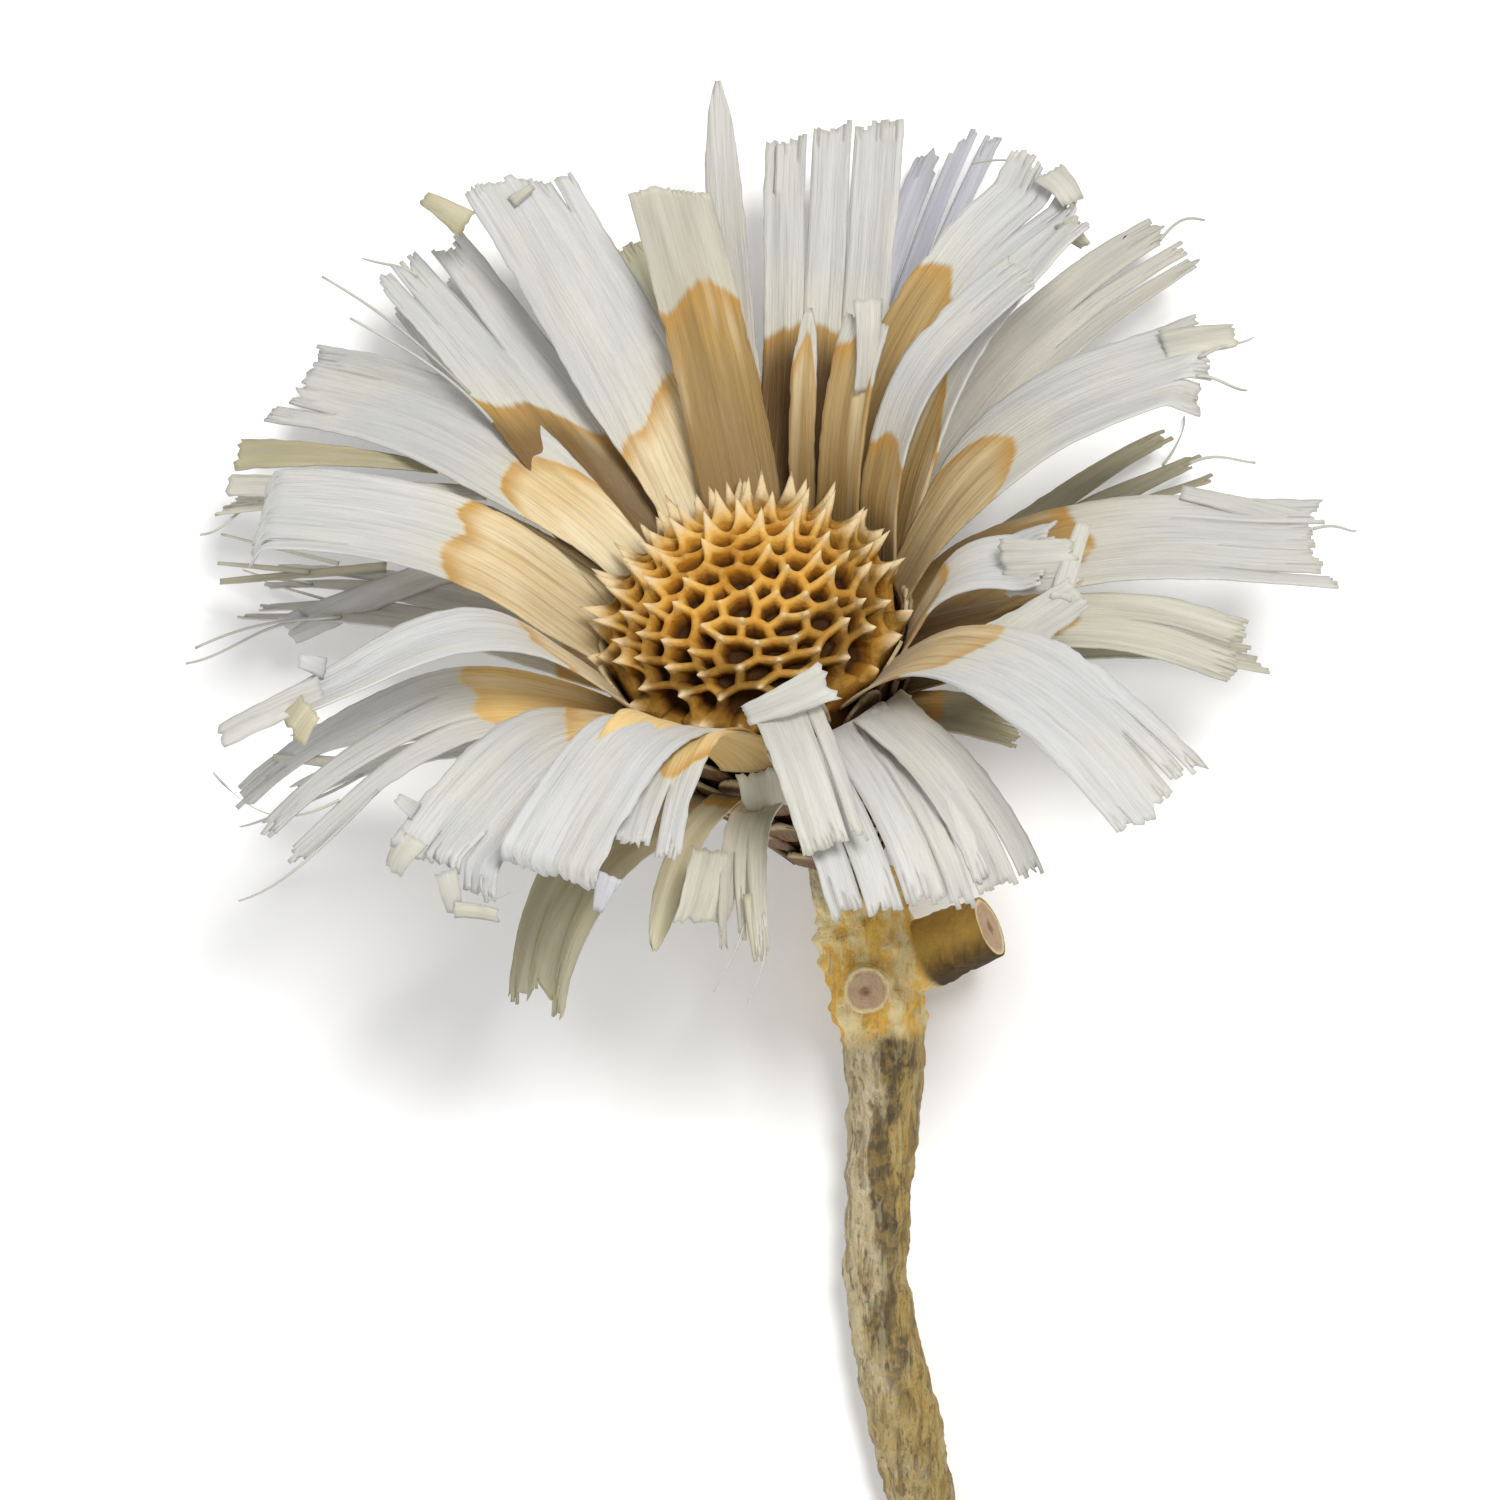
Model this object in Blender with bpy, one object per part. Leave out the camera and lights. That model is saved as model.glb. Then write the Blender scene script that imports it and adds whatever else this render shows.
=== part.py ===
"""Dried protea flower head, cut across its bracts, lying on a table on its stem and outer bracts.

Every length below is in millimetres and every angle in degrees; MM turns lengths into metres at the end.
The flower is first laid out in its own frame: the flower axis runs up through the middle of the
honeycomb dome, directions round the axis are counted from the right-hand side over the far side.
"""
import math
from collections import namedtuple

import bmesh
import bpy
from mathutils import Matrix, Vector

MM = 0.001

# Pose of the head on the table
HEAD_RISE = 42.0          # flower axis above the table
HEAD_TURN = 14.0          # flower axis turned sideways from the run of the stem
REST_ROLL = -2.5          # the whole piece rolled about the run of the stem to lie steadily
REST_PITCH = 0.0          # and tipped along it

# Honeycomb dome and the tapering base it stands on
RIM_RADIUS = 12.0
DOME_HEIGHT = 7.0
PIT_COUNT = 118
PIT_DEPTH = 1.7
PIT_NARROWING = 0.78
WALL = 0.42               # thickness of the walls between two pits
CUSP_LOW = 0.3            # rise of an ordinary corner between pits
CUSP_HIGH = 1.6           # rise of the tall corner on the outer side of each pit
BASE_RINGS = ((2.0, 12.0), (7.0, 11.2), (13.0, 9.2), (20.0, 6.5), (28.0, 3.3))   # depth, radius
BASE_BEND = 3.0           # the narrow end swings this far towards the stem
BASE_SIDES = 24

# Bracts
BRACT_THICKNESS = 0.5
BRACT_SEAT_GAP = 0.3
ROW_DEPTH = {1: 1.8, 2: 5.0, 3: 9.0, 4: 12.5}
ROW_BASE_WIDTH = {1: 3.2, 2: 3.3, 3: 3.0, 4: 3.0}
FLARE = 0.42              # share of the length over which a bract widens
POINT_START = 0.62        # share of the length where a pointed bract starts to narrow
SPINE_STEPS = 48
SHIFT_DONE = 0.5          # share of the length over which a bract drifts sideways by its shift
SEGMENTS_ALONG = 12
SEGMENTS_ACROSS = 4

# Stem, points along it and its radius there, measured from the middle of the dome's foot
STEM_SIDES = 14
STEM = (
    ((-8.0, 19.8, -19.0), 3.2),
    ((-8.3, 21.0, -20.0), 3.3),
    ((-9.6, 24.0, -21.3), 3.9),
    ((-10.3, 27.7, -21.8), 4.3),
    ((-10.9, 32.0, -22.2), 4.0),
    ((-11.4, 37.0, -22.6), 3.45),
    ((-11.3, 42.5, -23.0), 3.0),
    ((-10.9, 50.0, -23.6), 2.8),
    ((-10.9, 57.0, -24.2), 2.75),
    ((-11.9, 63.0, -24.8), 2.9),
    ((-13.4, 69.5, -25.3), 3.0),
    ((-15.0, 77.0, -25.8), 2.8),
    ((-16.9, 87.0, -26.3), 2.75),
)
STEM_STEPS = 3            # rings between two listed points
SIDE_STUB = ((-11.5, 29.0, -22.2), (-20.2, 25.4, -18.6), 2.9, 2.5)
FRONT_STUB = ((-10.2, 30.0, -21.5), (-9.8, 31.0, -16.4), 2.5, 2.05)

# name, row, direction round the axis, length, width, lean from the axis at the foot and at the end,
# sideways drift, place of the bend, bend sharpness (small = sharp), cup at the end, sideways shift, end
Bract = namedtuple("Bract", "name row round length width lean0 lean1 sway bend soft cup shift end")
BRACTS = (
    Bract("bract_01", 1, 83, 32, 7.0, 38, 24, 12, 0.50, 0.5, 0.06, 0, "cut"),
    Bract("bract_02", 1, 104, 38, 9.6, 50, 38, 15, 0.50, 0.5, 0.05, 0, "cut"),
    Bract("bract_03", 1, 127, 41, 9.4, 45, 92, 15, 0.30, 0.5, 0.06, 0, "torn"),
    Bract("bract_04", 1, 160, 35, 10.0, 36, 88, 5, 0.50, 0.5, 0.05, 0, "torn"),
    Bract("bract_05", 1, 204, 44, 8.0, 27, 90, -3, 0.45, 0.3, 0.05, 0, "cut"),
    Bract("bract_06", 1, 228, 31, 9.4, 38, 104, -6, 0.40, 0.5, 0.05, -2.4, "torn"),
    Bract("bract_07", 1, 247, 32, 10.0, 31, 108, -19, 0.47, 0.5, 0.05, -1.0, "cut"),
    Bract("bract_08", 1, 277, 29, 5.6, 28, 130, -2, 0.50, 0.3, 0.04, -1.6, "cut"),
    Bract("bract_09", 1, 309, 42, 9.8, 42, 112, -13, 0.50, 0.5, 0.04, -1.4, "torn"),
    Bract("bract_10", 1, 334, 21, 6.2, 34, 94, -2, 0.60, 0.3, 0.12, 0, "cut"),
    Bract("bract_11", 1, 5, 37, 10.0, 34, 90, -9, 0.50, 0.5, 0.05, 0, "torn"),
    Bract("bract_12", 1, 25, 32, 5.4, 14, 78, -14, 0.58, 0.5, 0.08, 0, "torn"),
    Bract("bract_13", 1, 45, 21, 4.6, 16, 46, -2, 0.60, 0.5, 0.10, 0, "cut"),
    Bract("bract_14", 1, 62, 20, 2.6, 26, 38, -4, 0.50, 0.5, 0.06, 0, "point"),
    Bract("bract_15", 2, 80, 42, 3.6, 38, 44, -6, 0.50, 0.5, 0.08, 0, "point"),
    Bract("bract_16", 2, 62, 40, 11.0, 46, 58, 7, 0.50, 0.5, 0.04, 0, "torn"),
    Bract("bract_17", 2, 36, 41, 11.4, 28, 84, -13, 0.60, 0.5, 0.05, 0, "torn"),
    Bract("bract_18", 2, 4, 38.5, 10.6, 62, 108, -9, 0.30, 0.5, 0.04, 0, "torn"),
    Bract("bract_19", 2, 345, 30, 6.8, 66, 110, -12, 0.40, 0.5, 0.06, 0, "torn"),
    Bract("bract_20", 2, 307, 35, 5.0, 36, 140, -27, 0.54, 0.5, 0.06, -3.0, "cut"),
    Bract("bract_21", 2, 287, 30, 11.0, 34, 142, -14, 0.48, 0.5, 0.04, -2.0, "torn"),
    Bract("bract_22", 2, 261, 28, 8.2, 27, 118, -20, 0.48, 0.5, 0.05, -2.4, "cut"),
    Bract("bract_23", 2, 202, 37, 8.4, 38, 112, -4, 0.40, 0.5, 0.05, -3.5, "torn"),
    Bract("bract_24", 2, 137, 43, 4.6, 54, 102, 17, 0.42, 0.5, 0.12, 0, "torn"),
    Bract("bract_25", 2, 115, 40, 8.4, 60, 66, 0, 0.50, 0.5, 0.08, 0, "torn"),
    Bract("bract_26", 3, 117, 44, 7.8, 70, 70, -4, 0.50, 0.5, 0.06, 0, "torn"),
    Bract("bract_27", 3, 92, 37, 6.4, 58, 68, 11, 0.50, 0.5, 0.08, 0, "cut"),
    Bract("bract_28", 3, 60, 48, 5.6, 59, 78, -6, 0.55, 0.5, 0.10, 0, "torn"),
    Bract("bract_29", 3, 42, 47, 8.6, 58, 94, -16, 0.53, 0.5, 0.06, 0, "torn"),
    Bract("bract_30", 4, 29, 42, 7.2, 80, 102, -2, 0.53, 0.5, 0.10, 0, "torn"),
    Bract("bract_31", 3, 354, 32, 5.0, 78, 118, 0, 0.44, 0.5, 0.08, 0, "torn"),
    Bract("bract_32", 3, 332, 19, 5.0, 70, 112, -4, 0.40, 0.5, 0.06, 0, "torn"),
    Bract("bract_33", 3, 262, 25, 4.0, 54, 150, -10, 0.60, 0.5, 0.06, -1.5, "torn"),
    Bract("bract_34", 3, 240, 19, 2.8, 66, 120, 0, 0.50, 0.5, 0.10, 0, "point"),
    Bract("bract_35", 4, 226, 29, 7.2, 52, 154, 0, 0.44, 0.5, 0.08, -3.0, "torn"),
    Bract("bract_36", 3, 147, 42, 7.6, 64, 100, 0, 0.30, 0.5, 0.06, 0, "torn"),
    Bract("bract_37", 3, 180, 34, 5.6, 62, 112, -4, 0.30, 0.5, 0.06, -2.0, "torn"),
)
TORN_ENDS = ((0.0, 1.7, 0.4, 2.2, 0.9), (1.3, 0.0, 1.9, 0.5, 1.6), (0.6, 1.5, 0.0, 1.1, 2.4))
CUT_ENDS = ((0.0, 0.3, 0.1, 0.4, 0.2), (0.6, 0.3, 0.2, 0.0, 0.1), (0.0, 0.2, 0.4, 0.6, 0.9))

COLOURS = {                # colour, roughness
    1: ((0.78, 0.74, 0.64, 1.0), 0.62),
    2: ((0.74, 0.69, 0.57, 1.0), 0.66),
    3: ((0.62, 0.57, 0.44, 1.0), 0.70),
    4: ((0.56, 0.51, 0.38, 1.0), 0.70),
    "receptacle": ((0.40, 0.24, 0.10, 1.0), 0.70),
    "stem": ((0.41, 0.36, 0.22, 1.0), 0.80),
}


def smooth(x):
    """Ease from 0 to 1."""
    x = min(max(x, 0.0), 1.0)
    return x * x * (3.0 - 2.0 * x)


def mix(a, b, x):
    return a + (b - a) * x


def head_frame():
    """Right, far and axis directions of the flower as the columns of a matrix."""
    rise = math.radians(HEAD_RISE)
    turn = math.radians(HEAD_TURN)
    axis = Vector((math.cos(rise) * math.sin(turn), -math.cos(rise) * math.cos(turn), math.sin(rise)))
    right = Vector((-math.cos(turn), -math.sin(turn), 0.0))
    far = axis.cross(right)
    return Matrix((right, far, axis)).transposed()


HEAD = head_frame()


def material(name, look):
    colour, roughness = look
    mat = bpy.data.materials.new(name)
    mat.use_nodes = True
    shader = mat.node_tree.nodes["Principled BSDF"]
    shader.inputs["Base Color"].default_value = colour
    shader.inputs["Roughness"].default_value = roughness
    shader.inputs["Metallic"].default_value = 0.0
    mat.diffuse_color = colour
    return mat


def add_object(name, bm, look):
    """Turn a mesh in millimetres into a smooth shaded object in metres."""
    bmesh.ops.recalc_face_normals(bm, faces=bm.faces)
    bmesh.ops.scale(bm, vec=(MM, MM, MM), verts=bm.verts)
    mesh = bpy.data.meshes.new(name)
    bm.to_mesh(mesh)
    bm.free()
    mesh.shade_smooth()
    if look is not None:
        mesh.materials.append(material(name, look))
    obj = bpy.data.objects.new(name, mesh)
    bpy.context.scene.collection.objects.link(obj)
    return obj


def base_radius(depth):
    """Radius of the tapering base at a depth under the dome's foot."""
    for (d0, r0), (d1, r1) in zip(BASE_RINGS, BASE_RINGS[1:]):
        if depth <= d1:
            return mix(r0, r1, max(depth - d0, 0.0) / (d1 - d0))
    return BASE_RINGS[-1][1]


def dome_points():
    """Centres of the pits, spiralling out from the top of the dome."""
    golden = math.pi * (3.0 - math.sqrt(5.0))
    for i in range(PIT_COUNT):
        share = (i + 0.5) / PIT_COUNT * 0.95
        reach = math.sqrt(mix(2.0 * share - share * share, share, 0.65))
        turn = i * golden
        yield Vector((RIM_RADIUS * reach * math.cos(turn), RIM_RADIUS * reach * math.sin(turn),
                      DOME_HEIGHT * math.sqrt(1.0 - reach * reach)))


def verts_at(bm, places):
    return [v for v in bm.verts if v.co.to_tuple(4) in places]


def pit_cells(bm):
    """Turns the triangles round each dome point into one many-sided cell; returns the cells."""
    everything = {v.co.to_tuple(4) for v in bm.verts}
    places = {v.co.to_tuple(4) for v in bm.verts if v.co.z > 0.0}
    around = {f for v in verts_at(bm, places) for f in v.link_faces}
    bmesh.ops.subdivide_edges(bm, edges=list({e for f in around for e in f.edges}), cuts=1,
                              use_grid_fill=True)
    old = set(verts_at(bm, everything))
    inner = [f for f in bm.faces if len(f.verts) == 3 and not old.intersection(f.verts)]
    bmesh.ops.poke(bm, faces=inner)
    opposite = {e for v in verts_at(bm, places) for f in v.link_faces for e in f.edges if v not in e.verts}
    bmesh.ops.dissolve_edges(bm, edges=list(opposite), use_verts=False)
    pits = verts_at(bm, places)
    centres = [v.co.copy() for v in pits]
    bmesh.ops.dissolve_verts(bm, verts=pits)
    big = [f for f in bm.faces if len(f.verts) > 6 and f.calc_center_median().z > -1.5]
    return [min(big, key=lambda f: (f.calc_center_median() - c).length) for c in centres]


def lift_ridge(corners, cells):
    """Lifts the corners between pits: the tall one of each pit lies away from the top of the dome."""
    high = {v for v in corners if v.co.z > 1.0}
    tall = set()
    for face in cells:
        centre = face.calc_center_median()
        way = Vector((centre.x, centre.y, 0.0)).normalized()
        own = {e.other_vert(v) for v in face.verts for e in v.link_edges} & high
        if own:
            tall.add(max(sorted(own, key=lambda v: v.co.to_tuple(3)),
                         key=lambda v: (v.co - centre).normalized().dot(way)))
    for vert in high:
        way = Vector((vert.co.x, vert.co.y, 0.0)).normalized()
        up = (vert.normal * 0.8 + way * 0.35 + Vector((0, 0, 0.25))).normalized()
        vert.co += up * (CUSP_HIGH if vert in tall else CUSP_LOW)


def receptacle():
    """Dome of open pits with pointed walls on a tapering base, grown as one."""
    bm = bmesh.new()
    for point in dome_points():
        bm.verts.new(point)
    last_depth = BASE_RINGS[-1][0]
    for depth, radius in BASE_RINGS:
        swing = BASE_BEND * (depth / last_depth) ** 2
        for k in range(BASE_SIDES):
            turn = math.tau * k / BASE_SIDES
            bm.verts.new((radius * math.cos(turn) + swing, radius * math.sin(turn), -depth))
    bmesh.ops.convex_hull(bm, input=bm.verts)
    cells = pit_cells(bm)
    bm.normal_update()
    frames = {}
    for face in cells:
        frames[face] = (face.calc_center_median(), face.normal.copy())
        bmesh.ops.inset_individual(bm, faces=[face], thickness=WALL / 2.0, use_even_offset=True)
    inside = {v for face in cells for v in face.verts}
    ridges = {e.other_vert(v) for v in inside for e in v.link_edges} - inside
    corners = [v for v in ridges if sum(e.other_vert(v) in ridges for e in v.link_edges) > 2]
    bm.normal_update()
    lift_ridge(corners, cells)
    for face in cells:
        centre, normal = frames[face]
        grown = bmesh.ops.extrude_discrete_faces(bm, faces=[face])["faces"][0]
        for vert in grown.verts:
            vert.co = centre + (vert.co - centre) * PIT_NARROWING - normal * PIT_DEPTH
    bmesh.ops.transform(bm, matrix=HEAD.to_4x4(), verts=bm.verts)
    return add_object("receptacle", bm, COLOURS["receptacle"])


def spine(bract):
    """Points and directions along the middle of a bract, in the flower's own frame."""
    depth = ROW_DEPTH[bract.row]
    start = base_radius(depth) + BRACT_SEAT_GAP + BRACT_THICKNESS / 2.0
    around = math.radians(bract.round)
    swing = BASE_BEND * (depth / BASE_RINGS[-1][0]) ** 2
    point = Vector((start * math.cos(around) + swing, start * math.sin(around), -depth))
    step = bract.length / SPINE_STEPS
    rows = []
    for i in range(SPINE_STEPS + 1):
        t = i / SPINE_STEPS
        ease = smooth((t - bract.bend + bract.soft) / (2.0 * bract.soft))
        lean = math.radians(mix(bract.lean0, bract.lean1, ease))
        turn = math.radians(bract.round + bract.sway * t)
        out = Vector((math.cos(turn), math.sin(turn), 0.0))
        along = out * math.sin(lean) + Vector((0, 0, math.cos(lean)))
        across = Vector((-math.sin(turn), math.cos(turn), 0.0))
        rows.append((point.copy(), along, across))
        point += along * step
    return rows


def half_width(bract, t):
    full = mix(min(ROW_BASE_WIDTH[bract.row], bract.width), bract.width, smooth(t / FLARE))
    if bract.end == "point":
        full *= math.sqrt(max(1.0 - max((t - POINT_START) / (1.0 - POINT_START), 0.0) ** 2.2, 0.04))
    return full / 2.0


def end_loss(bract, s):
    """How much shorter than its middle a bract is at a place across it."""
    if bract.end == "point":
        return 0.0
    table = TORN_ENDS if bract.end == "torn" else CUT_ENDS
    losses = table[int(bract.name[-2:]) % len(table)]
    return losses[round((s + 1.0) / 2.0 * (len(losses) - 1))]


def bract_object(bract):
    """One stiff papery bract with its own thickness."""
    rows = spine(bract)
    bm = bmesh.new()
    bmesh.ops.create_grid(bm, x_segments=SEGMENTS_ACROSS, y_segments=SEGMENTS_ALONG, size=1.0)
    seat_curve = 1.0 / base_radius(ROW_DEPTH[bract.row])
    for vert in bm.verts:
        s = vert.co.x
        t = (vert.co.y + 1.0) / 2.0
        t *= 1.0 - end_loss(bract, s) / bract.length * smooth((t - 0.6) / 0.4)
        place = t * SPINE_STEPS
        i = min(int(place), SPINE_STEPS - 1)
        point = rows[i][0].lerp(rows[i + 1][0], place - i)
        along = rows[i][1].lerp(rows[i + 1][1], place - i).normalized()
        across = rows[i][2].lerp(rows[i + 1][2], place - i).normalized()
        back = across.cross(along).normalized()
        reach = half_width(bract, t) * s + bract.shift * smooth(t / SHIFT_DONE)
        curve = mix(seat_curve, bract.cup, smooth(t / FLARE))
        vert.co = point + across * reach - back * (curve * reach * reach / 2.0)
    bmesh.ops.recalc_face_normals(bm, faces=bm.faces)
    bmesh.ops.solidify(bm, geom=bm.faces, thickness=BRACT_THICKNESS)
    bmesh.ops.transform(bm, matrix=HEAD.to_4x4(), verts=bm.verts)
    return add_object(bract.name, bm, COLOURS[bract.row])


def sweep(bm, stations, sides):
    """Closed round body through stations of (point, radius)."""
    rings = []
    for i, (point, radius) in enumerate(stations):
        before = stations[max(i - 1, 0)][0]
        after = stations[min(i + 1, len(stations) - 1)][0]
        turn = Vector((0, 0, 1)).rotation_difference((after - before).normalized()).to_matrix().to_4x4()
        ring = bmesh.ops.create_circle(bm, cap_ends=False, segments=sides, radius=radius,
                                       matrix=Matrix.Translation(point) @ turn)["verts"]
        rings.append(ring)
    for ring, following in zip(rings, rings[1:]):
        edges = set()
        for verts in (ring, following):
            inside = set(verts)
            edges.update(e for v in verts for e in v.link_edges if e.other_vert(v) in inside)
        bmesh.ops.bridge_loops(bm, edges=list(edges))
    for ring in (rings[0], rings[-1]):
        inside = set(ring)
        rim = {e for v in ring for e in v.link_edges if e.other_vert(v) in inside}
        bmesh.ops.edgeloop_fill(bm, edges=list(rim))


def curve_point(points, i, x):
    """Smooth curve through a list of points."""
    p0 = points[max(i - 1, 0)]
    p1 = points[i]
    p2 = points[i + 1]
    p3 = points[min(i + 2, len(points) - 1)]
    return 0.5 * (2 * p1 + (p2 - p0) * x + (2 * p0 - 5 * p1 + 4 * p2 - p3) * x ** 2
                  + (3 * p1 - p0 - 3 * p2 + p3) * x ** 3)


def stub(name, start, end, radius0, radius1):
    bm = bmesh.new()
    a = Vector(start)
    b = Vector(end)
    sweep(bm, [(a, radius0), (a.lerp(b, 0.6), mix(radius0, radius1, 0.7)), (b, radius1)], STEM_SIDES)
    helper = add_object(name, bm, None)
    helper.hide_render = True
    helper.display_type = "WIRE"
    return helper


def stem():
    """Slightly bent stem with a swollen joint and the stubs of two cut shoots."""
    points = [Vector((*place, radius)) for place, radius in STEM]
    stations = []
    for i in range(len(points) - 1):
        for k in range(STEM_STEPS):
            q = curve_point(points, i, k / STEM_STEPS)
            stations.append((Vector(q[:3]), q[3]))
    stations.append((Vector(STEM[-1][0]), STEM[-1][1]))
    bm = bmesh.new()
    sweep(bm, stations, STEM_SIDES)
    obj = add_object("stem", bm, COLOURS["stem"])
    for name, size in (("side_stub_helper", SIDE_STUB), ("front_stub_helper", FRONT_STUB)):
        join = obj.modifiers.new(name, "BOOLEAN")
        join.operation = "UNION"
        join.solver = "EXACT"
        join.object = stub(name, *size)
    return obj


def settle(objects):
    """Roll the piece to its resting pose, centred over the origin with its lowest point on the table."""
    pitch = Matrix.Rotation(math.radians(REST_PITCH), 4, "X")
    rest = pitch @ Matrix.Rotation(math.radians(REST_ROLL), 4, "Y")
    for obj in objects:
        obj.data.transform(rest)
    corners = [obj.matrix_world @ v.co for obj in objects for v in obj.data.vertices]
    low = Vector([min(c[k] for c in corners) for k in range(3)])
    high = Vector([max(c[k] for c in corners) for k in range(3)])
    shift = Matrix.Translation((-(low.x + high.x) / 2.0, -(low.y + high.y) / 2.0, -low.z))
    for obj in objects:
        obj.data.transform(shift)


def main():
    for old in list(bpy.data.objects):
        bpy.data.objects.remove(old, do_unlink=True)
    receptacle()
    for bract in BRACTS:
        bract_object(bract)
    stem()
    settle(list(bpy.context.scene.collection.objects))


main()
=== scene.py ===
import math
from collections import namedtuple

import bmesh
import bpy
from bpy.props import FloatProperty, FloatVectorProperty, PointerProperty
from mathutils import Matrix, Vector, noise


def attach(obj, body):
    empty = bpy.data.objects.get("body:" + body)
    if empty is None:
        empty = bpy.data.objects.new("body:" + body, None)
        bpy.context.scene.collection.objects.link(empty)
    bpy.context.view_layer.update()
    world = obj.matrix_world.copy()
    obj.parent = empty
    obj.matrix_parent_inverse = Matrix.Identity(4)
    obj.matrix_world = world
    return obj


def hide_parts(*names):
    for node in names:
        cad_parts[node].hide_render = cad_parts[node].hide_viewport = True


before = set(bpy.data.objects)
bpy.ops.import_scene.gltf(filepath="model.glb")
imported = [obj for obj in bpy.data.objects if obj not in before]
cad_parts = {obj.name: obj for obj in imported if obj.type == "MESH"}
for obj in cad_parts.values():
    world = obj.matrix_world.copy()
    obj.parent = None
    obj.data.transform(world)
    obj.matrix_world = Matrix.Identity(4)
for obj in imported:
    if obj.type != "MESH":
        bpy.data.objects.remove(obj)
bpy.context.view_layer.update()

bl_info = {
    "name": "Dried protea flower head",
    "version": (1, 0, 0),
    "blender": (4, 5, 0),
    "location": "View3D > Sidebar > Protea",
    "description": "Builds a dried, cut protea head with torn papery bracts, a honeycomb centre and a stem",
    "category": "Object",
}

# Lengths are in millimetres and angles in degrees, except where a comment says otherwise
MM = 0.001

# Pose, the same as the solids
HEAD_RISE = 42.0
HEAD_TURN = 14.0
REST_ROLL = -2.5
DOME_FOOT = Vector((1.10, -20.55, 30.87))

# Dome
RIM_RADIUS = 12.0
DOME_HEIGHT = 7.0
PIT_COUNT = 114
PIT_DEPTH = 1.75
PIT_STEPS = ((0.35, 0.99), (1.0, 0.90), (1.7, 0.76), (1.55, 0.50), (1.75, 0.40))    # depth, share of mouth
PIT_COVER = 0.985           # share of the dome that the centres of the pits cover
PIT_EVENNESS = 0.65         # 0 spreads them as on a ball, 1 as seen from above
APEX_RADIUS = 0.4
WALL = 0.80
CUSP_LOW = 0.30
CUSP_TOP = 1.9
CUSP_RIM = 3.2
CUSP_RIM_FROM = 10.0        # distance from the axis where the cusps reach their rim height
OUTER_ROWS = (6.5, 4.5)     # distance from the axis where the rows browned as painted shade begin, and over which length
RIDGE_PARTS = 4
RIDGE_CREASE = 0.85
MOUTH_LIFT = 0.55           # share of a ridge's height that the pit's own edge follows

# Base and its scales
BASE_RINGS = ((2.0, 12.0), (7.0, 11.2), (13.0, 9.2), (20.0, 6.5), (28.0, 3.3))      # depth, radius
BASE_BEND = 3.0
BASE_SIDES = 24
SCALE_COUNT = 96
SCALE_DEPTHS = (27.0, 3.0)  # lowest and highest scale, below the dome's foot
SCALE_TURN = 2.39996        # from one scale to the next, in radians
SCALE_LENGTH = 4.4
SCALE_WIDTHS = (2.4, 4.8)   # at the thin and at the thick end of the base
SCALE_THICKNESS = 0.3

# Bract sheets. Their vertices carry how far inside the tan foot they lie, tint, depth of the tan and wear;
# tint and depth also paint shade on bracts that lie in shade.
SHEET_LAYERS = ("stain", "tint", "deep", "fray")
SEAT_OFFSET = 0.55          # middle of a bract's foot above the base
SEAT_SHIFT = 0.28           # neighbours sit this far out and in by turns
ROW_DEPTH = {1: 1.8, 2: 5.0, 3: 9.0, 4: 12.5}
ROW_BASE_WIDTH = {1: 6.4, 2: 7.4, 3: 6.0, 4: 5.0}
FLARE = 0.24                # share of the length that a narrow foot takes to widen
NECKS = {2: (4.8, 0.50), 3: (4.2, 0.46), 9: (6.0, 0.75), 11: (4.6, 0.50)}   # foot width and flare of some
SPINE_STEPS = 48
POINT_START = 0.62          # where along a pointed bract its point begins
SHIFT_DONE = 0.5            # where along a bract its sideways shift is complete
COLUMN_WIDTH = 0.36
ROW_LENGTH = 0.7
FRAY_LENGTH = 2.4           # worn and curled part of a bract's end
FOLD_RADIUS = 0.45
UV_UNIT = 10.0              # length of a sheet for one unit of its pattern coordinates
LEAST_COLUMNS, LEAST_ROWS = 8, 20
INNER_LAST, MIDDLE_LAST = 14, 25    # number of the last inner and of the last middle bract

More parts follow.
